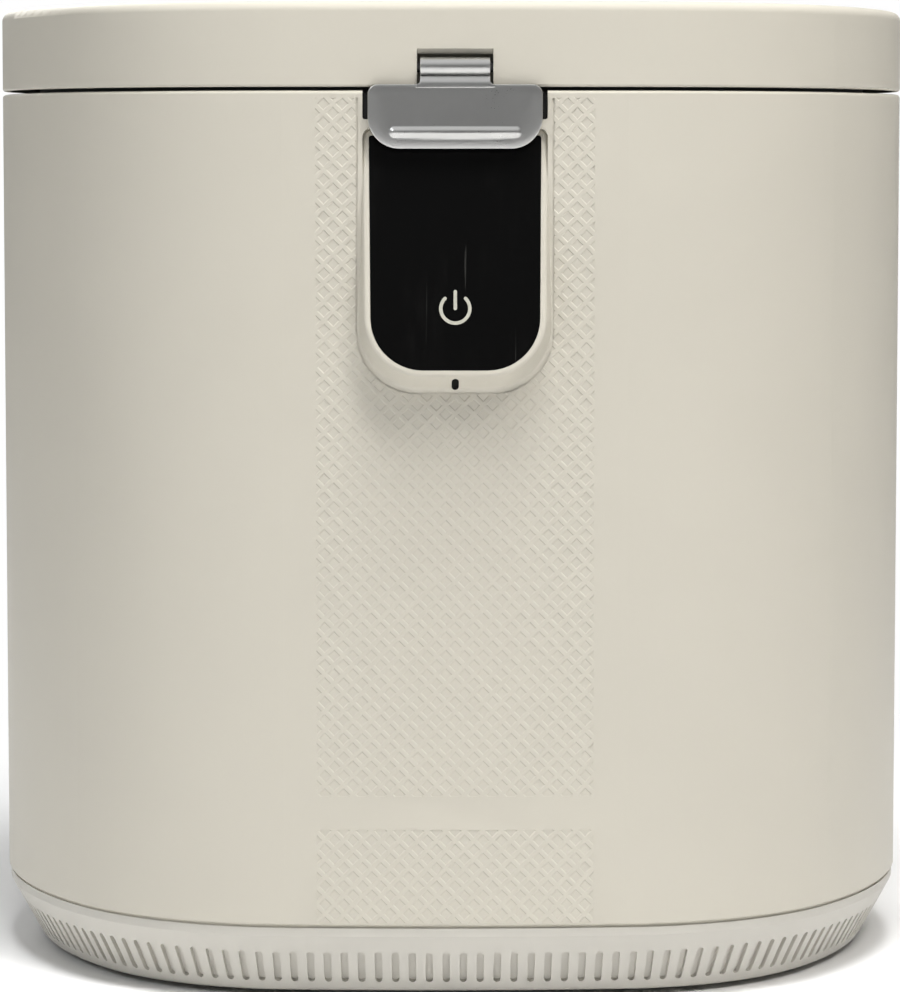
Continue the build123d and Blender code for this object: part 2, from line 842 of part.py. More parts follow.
# ---- gearbox ------------------------------------------------------------------------
def pitch_radius(teeth, module):
    return teeth * module / 2


stage_3 = pitch_radius(output_teeth + second_pinion_teeth, output_module)
stage_2 = pitch_radius(second_wheel_teeth + first_pinion_teeth, second_module)
stage_1 = pitch_radius(first_wheel_teeth + motor_pinion_teeth, first_module)
output_axis = (0.0, bucket_y)
second_axle = polar(output_axis, stage_3, stage_angles[0])
first_axle = polar(second_axle, stage_2, stage_angles[1])
motor_axis = polar(first_axle, stage_1, stage_angles[2])


def involute(angle):
    return math.tan(angle) - angle


def gear(teeth, module, thick, turn):
    # Involute wheel with a tooth centred on the direction turn, in degrees.
    pitch = pitch_radius(teeth, module)
    base = pitch * math.cos(math.radians(pressure_angle))
    outer = pitch + addendum * module
    root = pitch - dedendum * module
    half = (math.pi * module / 2 - backlash / 2) / (2 * pitch)
    half += involute(math.radians(pressure_angle))
    start = max(root, base)
    flank = [start + (outer - start) * step / 3 for step in range(4)]
    sides = [(r, half - involute(math.acos(min(base / r, 1.0)))) for r in flank]
    if root < base:
        sides.insert(0, (root, sides[0][1]))
    points = []
    for tooth in range(teeth):
        middle = math.radians(turn) + 2 * math.pi * tooth / teeth
        for radius, angle in sides:
            points.append((radius * math.cos(middle - angle), radius * math.sin(middle - angle)))
        for radius, angle in reversed(sides):
            points.append((radius * math.cos(middle + angle), radius * math.sin(middle + angle)))
    return extrude(make_face(Polyline(*points, close=True)), thick)


def heading(start, end):
    return math.degrees(math.atan2(end[1] - start[1], end[0] - start[0]))


def gap_turn(teeth, direction):
    # Turn that puts a tooth space, not a tooth, on the given direction.
    return direction + 180 / teeth


def webbed(wheel, teeth, module, thick, hub):
    # Shallow recess on both faces between the hub and the rim.
    outer = pitch_radius(teeth, module) - 2.4 * module
    for low in (0, thick * (1 - wheel_web / 2)):
        wheel -= tube(0, 0, low, low + thick * wheel_web / 2, outer, hub)
    return wheel


def output_gear():
    turn = gap_turn(output_teeth, heading(output_axis, second_axle))
    wheel = gear(output_teeth, output_module, output_gear_thick, turn)
    wheel = webbed(wheel, output_teeth, output_module, output_gear_thick, 2 * output_shaft_radius)
    return Pos(*output_axis, gear_low) * (wheel - rod(0, 0, 0, output_gear_thick,
                                                      output_shaft_radius + 0.05))


def second_gear():
    # Wheel driven by the first gear, with the pinion that drives the output gear.
    pinion_thick = second_low - gear_low
    pinion = gear(second_pinion_teeth, output_module, pinion_thick, heading(second_axle, output_axis))
    turn = gap_turn(second_wheel_teeth, heading(second_axle, first_axle))
    wheel = gear(second_wheel_teeth, second_module, second_wheel_thick, turn)
    wheel = webbed(wheel, second_wheel_teeth, second_module, second_wheel_thick, 4 * axle_radius)
    solid = pinion + Pos(0, 0, pinion_thick) * wheel
    solid -= rod(0, 0, 0, pinion_thick + second_wheel_thick, axle_radius + running_gap)
    return Pos(*second_axle, gear_low) * solid


def first_gear():
    # Wheel driven by the motor, with the pinion that drives the second gear.
    pinion_thick = first_low - second_low
    pinion = gear(first_pinion_teeth, second_module, pinion_thick, heading(first_axle, second_axle))
    turn = gap_turn(first_wheel_teeth, heading(first_axle, motor_axis))
    wheel = gear(first_wheel_teeth, first_module, first_wheel_thick, turn)
    wheel = webbed(wheel, first_wheel_teeth, first_module, first_wheel_thick, 3 * axle_radius)
    solid = pinion + Pos(0, 0, pinion_thick) * wheel
    solid -= rod(0, 0, 0, pinion_thick + first_wheel_thick, axle_radius + running_gap)
    return Pos(*first_axle, second_low) * solid


def motor_pinion():
    pinion = gear(motor_pinion_teeth, first_module, first_wheel_thick + 1,
                  heading(motor_axis, first_axle))
    shaft_top = cover_high + motor_length - 4 - first_low
    solid = pinion + rod(0, 0, first_wheel_thick, shaft_top, motor_shaft_radius)
    return Pos(*motor_axis, first_low) * solid


def case_outline(grow):
    outer_gear = pitch_radius(output_teeth, output_module) + output_module
    outer_second = pitch_radius(second_wheel_teeth, second_module) + second_module
    outer_first = pitch_radius(first_wheel_teeth, first_module) + first_module
    outer_motor = pitch_radius(motor_pinion_teeth, first_module) + first_module
    radii = (outer_gear, outer_second, outer_first, outer_motor + 2)
    centres = (output_axis, second_axle, first_axle, motor_axis)
    circles = Sketch() + [
        Pos(*centre) * Circle(radius + case_clearance + grow)
        for centre, radius in zip(centres, radii)
    ]
    return make_hull(circles.edges())


def gearbox_case():
    case = extrude(Pos(0, 0, case_low) * case_outline(case_wall), case_high - case_low)
    case -= extrude(Pos(0, 0, case_low + case_floor) * case_outline(0), case_high)
    cup_low = case_low - bearing_height
    case += rod(*output_axis, cup_low, case_low + 1, bearing_outer + bearing_cup_wall)
    case -= rod(*output_axis, case_low - bearing_height + 2, case_high, bearing_outer + 0.05)
    case -= rod(*output_axis, cup_low, case_high, output_shaft_radius + 1)
    for x, y in gear_post_places():
        case += rod(x, y, plate_top_z, case_low + 1, post_radius)
        case -= rod(x, y, plate_top_z, plate_top_z + 10, screw_hole)
    for axle in (first_axle, second_axle):
        case -= rod(*axle, case_low + case_floor - axle_seat, case_high, axle_radius + 0.05)
        case += tube(*axle, case_low + case_floor - axle_seat, gear_low - 0.3,
                     axle_radius + 3, axle_radius + 0.05)
    rise = second_low - case_low - case_floor - 0.3
    case += Pos(0, 0, case_low + case_floor) * tube(*first_axle, 0, rise, axle_radius + 3,
                                                   axle_radius + 0.05)
    for x, y in cover_screw_places():
        case += rod(x, y, case_low, case_high, screw_head_radius + 1.4)
        case -= rod(x, y, case_high - 8, case_high, screw_hole)
    return case


def cover_screw_places():
    lug = case_clearance + case_wall + screw_hole
    reach = pitch_radius(output_teeth, output_module) + output_module + lug
    side = pitch_radius(second_wheel_teeth, second_module) + second_module + lug
    far = pitch_radius(first_wheel_teeth, first_module) + first_module + lug
    return [
        polar(output_axis, reach, 60),
        polar(output_axis, reach, 0),
        polar(output_axis, reach, -60),
        polar(second_axle, side, 100),
        polar(first_axle, far, -92),
    ]


def gearbox_cover():
    cover = extrude(Pos(0, 0, case_high) * case_outline(case_wall), cover_thick)
    for x, y in cover_screw_places():
        cover += rod(x, y, case_high, cover_high, screw_head_radius + 1.4)
        cover -= rod(x, y, case_high, cover_high, screw_hole)
    cup_high = cover_high + bearing_height
    cover += rod(*output_axis, case_high, cup_high, bearing_outer + bearing_cup_wall)
    cover -= rod(*output_axis, case_high, cup_high - 2, bearing_outer + 0.05)
    cover -= rod(*output_axis, case_high, cup_high, output_shaft_radius + 1)
    cover -= rod(*motor_axis, case_high, cover_high, motor_boss_radius + fit_gap)
    for x, y in motor_screw_places():
        cover -= rod(x, y, case_high, cover_high, screw_hole)
    for axle in (first_axle, second_axle):
        cover -= rod(*axle, case_high, case_high + axle_seat, axle_radius + 0.05)
    return cover


def motor_screw_places():
    return [polar(motor_axis, motor_boss_radius + screw_hole + 0.8, angle) for angle in (90, -90)]


def gearbox_screws():
    screws = [screw_down(x, y, cover_high, cover_thick + 7) for x, y in cover_screw_places()]
    return screws + [screw_up(x, y, case_high, cover_thick + 3) for x, y in motor_screw_places()]


def gear_axles():
    low = case_low + case_floor - axle_seat
    return [rod(*axle, low, case_high + axle_seat, axle_radius) for axle in (first_axle, second_axle)]


def output_bearings():
    low = case_low - bearing_height + 2
    high = cover_high + bearing_height - 2
    return [
        tube(*output_axis, low, low + bearing_height, bearing_outer, output_shaft_radius + running_gap),
        tube(*output_axis, high - bearing_height, high, bearing_outer, output_shaft_radius + running_gap),
    ]


def output_shaft():
    low = case_low - bearing_height + 2
    return rod(*output_axis, low, dog_low + dog_hub, output_shaft_radius)


def motor_can():
    low = cover_high
    can = rod(*motor_axis, low, low + motor_length, motor_radius)
    can = fillet(can.edges().group_by(Axis.Z)[0], 2.0)
    can += rod(*motor_axis, low - motor_boss, low, motor_boss_radius)
    can -= rod(*motor_axis, low - motor_boss, low + motor_length - 3, motor_shaft_radius + running_gap)
    for x, y in motor_screw_places():
        can -= rod(x, y, low - 1, low + 5, screw_hole)
    return can


def motor_end_cap():
    low = cover_high + motor_length
    cap = rod(*motor_axis, low, low + motor_cap, motor_radius - 1.5)
    cap = fillet(cap.edges().group_by(Axis.Z)[-1], 2.0)
    for side in (-1, 1):
        x, y = polar(motor_axis, 12.0, 90 * side)
        cap += block(x - 3, x + 3, y - 0.5, y + 0.5, low + motor_cap - 1, low + motor_cap + 7)
    return cap


# ---- filter, blower and duct --------------------------------------------------------
def cassette_tray():
    low, high = cassette_low, cassette_high
    tray = block(-cassette_half, cassette_half, cassette_front, rear - 1, low, high)
    tray -= block(-cassette_half + cassette_wall, cassette_half - cassette_wall,
                  cassette_front + cassette_wall, rear, low + cassette_wall, high)
    margin = cassette_face_margin
    face = block(-cassette_half - margin, cassette_half + margin, rear - 4,
                 rear + cassette_face_thick, low - margin, high + margin)
    face = fillet(face.edges().filter_by(Axis.Y), 6.0)
    face = fillet(face.faces().sort_by(Axis.Y)[-1].edges(), 1.0)
    hole = block(-cassette_half, cassette_half, rear - 6, rear, low, high)
    face -= slab(-0.3, 0, total_height) - hole
    pitch = 2 * vent_width
    first = (low + high) / 2 - pitch * (vent_count - 1) / 2 - grip_lip
    for index in range(vent_count):
        z = first + index * pitch
        vent = Plane.XZ.offset(-rear - 5) * Pos(0, z) * SlotOverall(1.5 * cassette_half, vent_width)
        face -= extrude(vent, 20, both=True)
    grip = block(-cassette_half / 2, cassette_half / 2, rear, rear + cassette_face_thick + grip_lip,
                 high + margin - 6, high + margin - 3)
    grip = fillet(grip.edges().group_by(Axis.Y)[-1], 1.2)
    return tray + face + grip


def carbon_block():
    wall = cassette_wall + carbon_gap
    return block(-cassette_half + wall, cassette_half - wall, cassette_front + wall, rear - 4.5,
                 cassette_low + cassette_wall + fit_gap, cassette_high - carbon_headroom)


def filter_housing():
    gap = cassette_gap
    x, low, high = cassette_half + gap, cassette_low - gap, cassette_high + gap
    wall = housing_wall
    solid = block(-x - wall, x + wall, housing_front - wall, rear - shell_wall - 4,
                  low - wall, high + wall)
    solid -= block(-x, x, housing_front, rear, low, high)
    solid -= air_slot(high - 1, high + wall + 1)
    for side in (-1, 1):
        leg_x = side * (x - 6)
        solid += block(leg_x - 4, leg_x + 4, housing_front + 4, housing_front + 40,
                       plate_top_z, low - wall)
    return solid


def air_slot(low, high):
    middle = blower_front + blower_depth / 2
    return block(air_slot_low, air_slot_high, middle - air_slot_depth / 2,
                 middle + air_slot_depth / 2, low, high)


def blower_housing():
    wall = blower_wall
    back = blower_front + blower_depth
    outer = Plane.XZ.offset(-blower_front) * Pos(0, (blower_low + blower_high) / 2)
    shape = outer * RectangleRounded(2 * blower_half, blower_high - blower_low, 18.0)
    solid = extrude(shape, blower_depth, dir=(0, 1, 0))
    room = Plane.XZ.offset(-blower_front - wall) * Pos(0, (blower_low + blower_high) / 2)
    inside = room * RectangleRounded(2 * (blower_half - wall), blower_high - blower_low - 2 * wall,
                                     18.0 - wall)
    solid -= extrude(inside, blower_depth - 2 * wall, dir=(0, 1, 0))
    solid -= rod_y(blower_front - 1, blower_front + wall + 1, 0, fan_height, fan_inlet_radius)
    solid -= rod_y(back - wall - 1, back + 1, 0, fan_height, fan_shaft_radius + 1)
    filter_top = cassette_high + cassette_gap + housing_wall
    middle = blower_front + blower_depth / 2
    spout = block(air_slot_low - wall, air_slot_high + wall, middle - air_slot_depth / 2 - wall,
                  middle + air_slot_depth / 2 + wall, filter_top, blower_low + wall)
    solid += spout
    return solid - air_slot(filter_top - 1, blower_low + wall + 1)


def fan_motor():
    back = blower_front + blower_depth
    motor = rod_y(back, back + fan_motor_length, 0, fan_height, fan_motor_radius)
    motor = fillet(motor.edges().group_by(Axis.Y)[-1], 2.0)
    return motor - rod_y(back - 1, back + fan_motor_length - 4, 0, fan_height,
                         fan_shaft_radius + running_gap)


def fan_rotor():
    low = blower_front + blower_depth - blower_wall - 2.0
    disc_low = low - 2.0
    rotor = rod_y(disc_low, low, 0, fan_height, fan_radius)
    rotor += rod_y(low - fan_width, low, 0, fan_height, fan_hub_radius)
    for index in range(fan_blade_count):
        turn = 360 * index / fan_blade_count
        vane = Pos(fan_radius - fan_blade_depth / 2, low - fan_width / 2, 0) * Rot(0, 35, 0) * Box(
            fan_blade_depth, fan_width, fan_blade_thick)
        rotor += Pos(0, 0, fan_height) * Rot(0, turn, 0) * vane
    shaft_end = blower_front + blower_depth + fan_motor_length - 5
    return rotor + rod_y(low, shaft_end, 0, fan_height, fan_shaft_radius)


def air_duct():
    back = blower_front - 0.1
    gap = 0.2
    duct = block(-duct_half, duct_half, bucket_y + 60, back, duct_low, duct_high)
    duct -= block(-duct_half + duct_wall, duct_half - duct_wall, bucket_y + 50, back - duct_wall,
                  duct_low + duct_wall, duct_high - duct_wall)
    duct -= rod(0, bucket_y, 0, total_height, well_radius + well_wall + gap)
    return duct - rod_y(back - duct_wall - 1, back + 1, 0, fan_height, fan_inlet_radius)


# ---- electrics ----------------------------------------------------------------------
def inlet_box(grow, y0, y1, corner):
    plane = Plane.XZ.offset(-y0) * Pos(0, inlet_height)
    shape = plane * RectangleRounded(2 * (inlet_half_width + grow), 2 * (inlet_half_height + grow),
                                     corner)
    return extrude(shape, y1 - y0, dir=(0, 1, 0))


def power_inlet():
    flange = inlet_box(inlet_flange, rear - 2, rear + inlet_flange_thick, inlet_corner)
    flange = fillet(flange.faces().sort_by(Axis.Y)[-1].edges(), 0.6)
    flange -= slab(-leaf_gap, 0, total_height)
    shell = inlet_box(-fit_gap, rear - inlet_depth - inlet_wall, rear + 0.5, 0.5)
    shell -= inlet_box(-fit_gap - inlet_wall, rear - inlet_depth, rear + 5, 2.0)
    solid = flange - inlet_box(-fit_gap - inlet_wall, rear - 3, rear + 5, 2.0) + shell
    for x, z in inlet_pin_places():
        solid -= block(x - 1.05, x + 1.05, rear - inlet_depth - inlet_wall - 1, rear - inlet_depth,
                       z - 2.05, z + 2.05)
    return solid


def inlet_pin_places():
    return [
        (-inlet_pin_pitch, inlet_height - 2),
        (0, inlet_height + 2),
        (inlet_pin_pitch, inlet_height - 2),
    ]


def inlet_pins():
    start = rear - inlet_depth - inlet_wall - 6
    pins = []
    for x, z in inlet_pin_places():
        pin = block(x - 1, x + 1, start, rear - inlet_depth + inlet_pin_length, z - 2, z + 2)
        pins.append(chamfer(pin.faces().sort_by(Axis.Y)[-1].edges(), 0.4))
    return pins


def board_posts():
    y0, y1 = board_y - board_half_length + 6, board_y + board_half_length - 6
    return [(y, z) for y in (y0, y1) for z in (board_low + 6, board_low + board_height - 6)]


def main_board():
    return block(board_x, board_face, board_y - board_half_length, board_y + board_half_length,
                 board_low, board_low + board_height)


def board_components():
    transformer = block(board_x - 22, board_x, board_y + 18, board_y + 42, board_low + 12, board_low + 38)
    capacitor = rod_x(board_x - 20, board_x, board_y + 30, board_low + 60, 9.0)
    capacitor = fillet(capacitor.edges().group_by(Axis.X)[0], 1.5)
    relays = [
        block(board_x - 15, board_x, y, y + 14, board_low + 12, board_low + 31)
        for y in (board_y - 10, board_y - 28)
    ]
    terminal = block(board_x - 11, board_x, board_y - 34, board_y + 6, board_low + 62, board_low + 74)
    return [transformer, capacitor, terminal] + relays


def board_bracket():
    face = board_face + board_stand_off
    y0, y1 = board_y - board_half_length, board_y + board_half_length
    plate = block(face, face + board_plate_thick, y0, y1, plate_top_z, board_low + board_height)
    plate += block(face + board_plate_thick - board_foot, face + board_plate_thick,
                   board_y - board_foot, board_y + board_foot,
                   plate_top_z, plate_top_z + board_plate_thick)
    for y, z in board_posts():
        plate += rod_x(board_face, face, y, z, 3.0)
    return plate


# ---- hinge --------------------------------------------------------------------------
def knuckle(x0, x1, low, high):
    solid = rod_x(x0, x1, hinge_y, hinge_height, knuckle_radius)
    return solid + block(x0, x1, rear - 2.5, hinge_y + knuckle_radius, low, high)


def hinge_bracket():
    inner = lid_knuckle_half + knuckle_gap
    leaf_high = hinge_height - knuckle_radius - 2
    bracket = block(-hinge_half, hinge_half, rear - 2.5, rear + hinge_leaf_thick,
                    hinge_leaf_low, leaf_high)
    for x0, x1 in ((-hinge_half, -inner), (inner, hinge_half)):
        bracket += knuckle(x0, x1, leaf_high - 4, hinge_height)
    bracket -= slab(-leaf_gap, 0, body_top + 5)
    bracket -= rod_x(-hinge_half, hinge_half, hinge_y, hinge_height, hinge_pin_radius + 0.05)
    for x, z in hinge_screw_places():
        bracket -= rod_y(rear - 5, rear + 5, x, z, screw_hole)
    return bracket


def hinge_screw_places():
    low = hinge_leaf_low + 8
    return [(-40, low), (0, low), (40, low)]


def hinge_screws():
    face = rear + hinge_leaf_thick
    return [
        rod_y(face, face + screw_head, x, z, screw_head_radius)
        + rod_y(rear - shell_wall - 1, face, x, z, screw_radius)
        for x, z in hinge_screw_places()
    ]


def lid_hinge():
    half = lid_knuckle_half
    leaf = block(-half, half, rear - 2.5, rear + hinge_leaf_thick, hinge_height + 8,
                 hinge_leaf_lid_high)
    leaf += knuckle(-half, half, hinge_height, hinge_height + 10)
    leaf -= slab(-leaf_gap, 0, total_height)
    return leaf - rod_x(-hinge_half, hinge_half, hinge_y, hinge_height,
                        hinge_pin_radius + running_gap + 0.02)


def hinge_pin():
    pin = rod_x(-hinge_half - 2, hinge_half + 2, hinge_y, hinge_height, hinge_pin_radius)
    return fillet(pin.edges().filter_by(GeomType.CIRCLE), 0.5)


# ---- lid ----------------------------------------------------------------------------
def lid_boss_places():
    inset = liner_inset + liner_thick + boss_radius + 0.6
    return [(x, y) for x, y, _ in stations(inset, 140.0)]


def lid_shell():
    lid = slab(0, lid_low, total_height)
    lid = fillet(lid.edges().group_by(Axis.Z)[-1], lid_top_round)
    lid = fillet(lid.edges().group_by(Axis.Z)[0], lid_foot_round)
    lid -= slab(shell_wall, lid_low, total_height - shell_wall)
    back = front + recess_depth
    lid += block(-recess_half - recess_wall, recess_half + recess_wall, front + 1.5,
                 back + recess_wall, lid_low, total_height - shell_wall)
    profile = Plane.YZ * Polygon(
        (front - 5, lid_low - 1), (back, lid_low - 1), (back, recess_top - recess_bevel),
        (front + 2.5, recess_top - recess_bevel), (front, recess_top), (front - 5, recess_top),
        align=None)
    lid -= extrude(profile, recess_half, both=True)
    pin_reach = barrel_half + latch_pin_bite + 0.4
    lid -= rod_x(-pin_reach, pin_reach, latch_pivot_y, latch_pivot_height,
                 latch_pin_radius + pin_clearance)
    for x, y in lid_boss_places():
        lid += rod(x, y, liner_low + liner_thick, total_height - 1, boss_radius)
        lid -= rod(x, y, liner_low + liner_thick, liner_low + liner_thick + 9, screw_hole)
    return lid


def lid_liner():
    low, high = liner_low, liner_low + liner_thick
    liner = slab(liner_inset, low, lid_low + 12)
    liner = fillet(liner.edges().group_by(Axis.Z)[0], 2.0)
    liner -= slab(liner_inset + liner_thick, high, total_height)
    for x, y in lid_boss_places():
        liner -= rod(x, y, low, high, screw_hole)
    return liner


def lid_seal():
    low = deck_top + well_wall + 0.2
    outer = seal_ring_radius
    seal = tube(0, bucket_y, low, liner_low, outer, outer - seal_thick)
    return fillet(seal.edges().group_by(Axis.Z)[0], 1.2)


def lid_screws():
    return [screw_up(x, y, liner_low, 9.0) for x, y in lid_boss_places()]


def latch_plate():
    back = front - plate_stand_off
    face = back - plate_thick
    shape = Polygon((-plate_half, plate_foot), (plate_half, plate_foot), (plate_half, plate_top),
                    (-plate_half, plate_top), align=None)
    corners = shape.vertices().group_by(Axis.Y)
    shape = fillet(corners[0], plate_foot_corner)
    shape = fillet([v for v in shape.vertices() if abs(v.Y - plate_top) < 0.01], plate_top_corner)
    plate = extrude(Plane.XZ.offset(-face) * shape, plate_thick, dir=(0, 1, 0))
    plate = fillet(plate.faces().sort_by(Axis.Y)[0].edges(), 0.5)
    neck = Polygon((face, plate_top - 3), (back, plate_top - 3),
                   (latch_pivot_y - 1, latch_pivot_height - barrel_radius + 0.6),
                   (latch_pivot_y - barrel_radius + 0.5, latch_pivot_height), align=None)
    solid = plate + extrude(Plane.YZ * neck, barrel_half, both=True)
    solid += rod_x(-barrel_half, barrel_half, latch_pivot_y, latch_pivot_height, barrel_radius)
    rib_y = face + rib_radius - rib_proud
    rib = rod_x(-rib_half + rib_radius, rib_half - rib_radius, rib_y, rib_height, rib_radius)
    for side in (-1, 1):
        rib += Pos(side * (rib_half - rib_radius), rib_y, rib_height) * Sphere(rib_radius)
    rib -= block(-plate_half, plate_half, back, front, plate_foot, plate_top)
    solid += rib
    return solid - rod_x(-barrel_half, barrel_half, latch_pivot_y, latch_pivot_height,
                         latch_pin_radius + 0.02)


def latch_pin():
    reach = barrel_half + latch_pin_bite
    return rod_x(-reach, reach, latch_pivot_y, latch_pivot_height, latch_pin_radius)


def latch_hook():
    back = front - plate_stand_off
    top = keeper_lip_under - hook_clearance
    tip = front + keeper_lip_sink + hook_bite
    hook = block(-hook_half, hook_half, back, tip, top - hook_thick, top)
    stem = block(-hook_half, hook_half, back, back + 1.4, top - hook_thick, top + 5)
    return fillet(hook.edges().filter_by(Axis.Z).group_by(Axis.Y)[-1], 1.5) + stem


# ---- write one file per part --------------------------------------------------------
parts = {
    "base_skirt": base_skirt, "bottom_plate": bottom_plate, "rubber_feet": rubber_feet,
    "base_screws": base_screws, "body_shell": body_shell, "touch_panel": touch_panel,
    "power_symbol": power_symbol, "status_window": status_window,
    "control_board": control_board, "latch_keeper": latch_keeper, "top_deck": top_deck,
    "deck_screws": deck_screws, "bucket_well": bucket_well, "heater_plate": heater_plate,
    "gearbox_case": gearbox_case, "gearbox_cover": gearbox_cover,
    "gearbox_screws": gearbox_screws, "gear_axles": gear_axles,
    "output_bearings": output_bearings, "shaft_seal": shaft_seal, "motor_can": motor_can,
    "motor_end_cap": motor_end_cap, "blower_housing": blower_housing, "fan_motor": fan_motor,
    "air_duct": air_duct, "filter_housing": filter_housing, "power_inlet": power_inlet,
    "inlet_pins": inlet_pins, "main_board": main_board, "board_components": board_components,
    "board_bracket": board_bracket, "hinge_bracket": hinge_bracket,
    "hinge_screws": hinge_screws, "hinge_pin": hinge_pin, "lid_shell": lid_shell,
    "lid_liner": lid_liner, "lid_seal": lid_seal, "lid_screws": lid_screws,
    "lid_hinge": lid_hinge, "latch_plate": latch_plate, "latch_pin": latch_pin,
    "latch_hook": latch_hook, "bucket": bucket, "fixed_blades": fixed_blades,
    "bucket_bushing": bucket_bushing, "agitator_shaft": agitator_shaft,
    "agitator_arms": agitator_arms, "driven_dog": driven_dog, "drive_dog": drive_dog,
    "output_shaft": output_shaft, "output_gear": output_gear, "second_gear": second_gear,
    "first_gear": first_gear, "motor_pinion": motor_pinion, "fan_rotor": fan_rotor,
    "cassette_tray": cassette_tray, "carbon_block": carbon_block,
}

os.makedirs("parts", exist_ok=True)
for name, make in parts.items():
    made = make()
    solids = made if isinstance(made, list) else made.solids()
    shape = solids[0] if len(solids) == 1 else Compound(solids)
    export_step(shape, f"parts/{name}.step")
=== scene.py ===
import math

import bpy
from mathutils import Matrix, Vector


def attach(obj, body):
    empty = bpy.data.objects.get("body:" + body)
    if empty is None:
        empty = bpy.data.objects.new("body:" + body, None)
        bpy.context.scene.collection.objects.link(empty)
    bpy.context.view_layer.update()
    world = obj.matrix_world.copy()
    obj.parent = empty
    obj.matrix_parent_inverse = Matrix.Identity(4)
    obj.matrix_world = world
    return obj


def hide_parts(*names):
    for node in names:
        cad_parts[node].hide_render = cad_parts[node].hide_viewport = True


# Electric food waste composter, in metres. X is left to right, -Y is the front, Z is up.

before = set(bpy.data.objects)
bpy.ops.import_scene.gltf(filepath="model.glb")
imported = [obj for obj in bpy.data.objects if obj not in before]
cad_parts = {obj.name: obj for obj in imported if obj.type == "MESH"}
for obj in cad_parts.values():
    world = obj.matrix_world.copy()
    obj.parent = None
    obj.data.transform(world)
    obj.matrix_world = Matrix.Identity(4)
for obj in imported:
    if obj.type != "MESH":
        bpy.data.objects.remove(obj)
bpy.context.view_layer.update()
bpy.ops.object.select_all(action="DESELECT")
mm = 0.001
touching = 0.01 * mm           # places nearer than this count as one

# The curved front that the trim sits on.
front = {
    "y": -150 * mm,
    "radius": 870 * mm,
}

# The control pod's face, which leans back from its foot.
pod = {
    "flushHeight": 289 * mm,      # where the leaning face meets the front skin
    "lean": math.radians(9.6),
    "foot": 221.2 * mm,
    "halfFoot": 31.1 * mm,
    "halfTop": 31.9 * mm,
    "head": 305.9 * mm,
    "footCorner": 20.2 * mm,
    "draft": math.radians(14),
}


def frontSkin(x):
    # Depth of the front skin at this distance from the middle.
    return front["y"] + front["radius"] - math.sqrt(front["radius"] ** 2 - x * x)


# One socket of a shader. Arithmetic on it adds Math nodes to the same tree.
class Wire:
    def __init__(self, tree, socket=None):
        self.tree = tree
        self.socket = socket

    def add(self, kind, settings=None, sockets=None, out=0):
        node = self.tree.nodes.new(kind)
        for name, value in (settings or {}).items():
            setattr(node, name, value)
        for name, value in (sockets or {}).items():
            if isinstance(value, Wire):
                self.tree.links.new(value.socket, node.inputs[name])
            else:
                node.inputs[name].default_value = value
        return Wire(self.tree, node.outputs[out] if len(node.outputs) else None)

    def math(self, operation, first, second=0.0):
        return self.add("ShaderNodeMath", {"operation": operation}, {0: first, 1: second})

    def __add__(self, other):
        return self.math("ADD", self, other)

    __radd__ = __add__

    def __sub__(self, other):
        return self.math("SUBTRACT", self, other)

    def __rsub__(self, other):
        return self.math("SUBTRACT", other, self)

    def __mul__(self, other):
        return self.math("MULTIPLY", self, other)

    __rmul__ = __mul__

    def clamp(self):
        return self.add("ShaderNodeClamp", {}, {"Value": self})

    def between(self, low, high):
        # 0 below low, 1 above high, smooth between them.
        settings = {"interpolation_type": "SMOOTHSTEP"}
        sockets = {"Value": self, "From Min": low, "From Max": high}
        return self.add("ShaderNodeMapRange", settings, sockets)

    def tint(self, first, second):
        # Colour first where the wire is 0 and second where it is 1.
        settings = {"data_type": "RGBA"}
        return self.add("ShaderNodeMix", settings, {0: self, 6: first, 7: second}, out=2)


def rgb(colour, level=1.0):
    return tuple(min(1.0, part * level) for part in colour) + (1.0,)


def startFinish(name):
    material = bpy.data.materials.new(name)
    material.use_nodes = True
    material.node_tree.nodes.clear()
    return material, Wire(material.node_tree)


def objectPlace(wire, stretch=(1.0, 1.0, 1.0), turn=(0.0, 0.0, 0.0)):
    place = wire.add("ShaderNodeTexCoord", out=3)
    return wire.add(
        "ShaderNodeMapping", {}, {"Vector": place, "Scale": stretch, "Rotation": turn}
    )


def noise(wire, place, scale, detail=2.0, rough=0.5):
    sockets = {"Vector": place, "Scale": scale, "Detail": detail, "Roughness": rough}
    return wire.add("ShaderNodeTexNoise", {}, sockets)


def bumpOf(wire, height, depth, strength=1.0):
    sockets = {"Height": height, "Distance": depth, "Strength": strength}
    return wire.add("ShaderNodeBump", {}, sockets)


def closeFinish(material, wire, sockets):
    shader = wire.add("ShaderNodeBsdfPrincipled", {}, sockets)
    wire.add("ShaderNodeOutputMaterial", {}, {"Surface": shader})
    return material


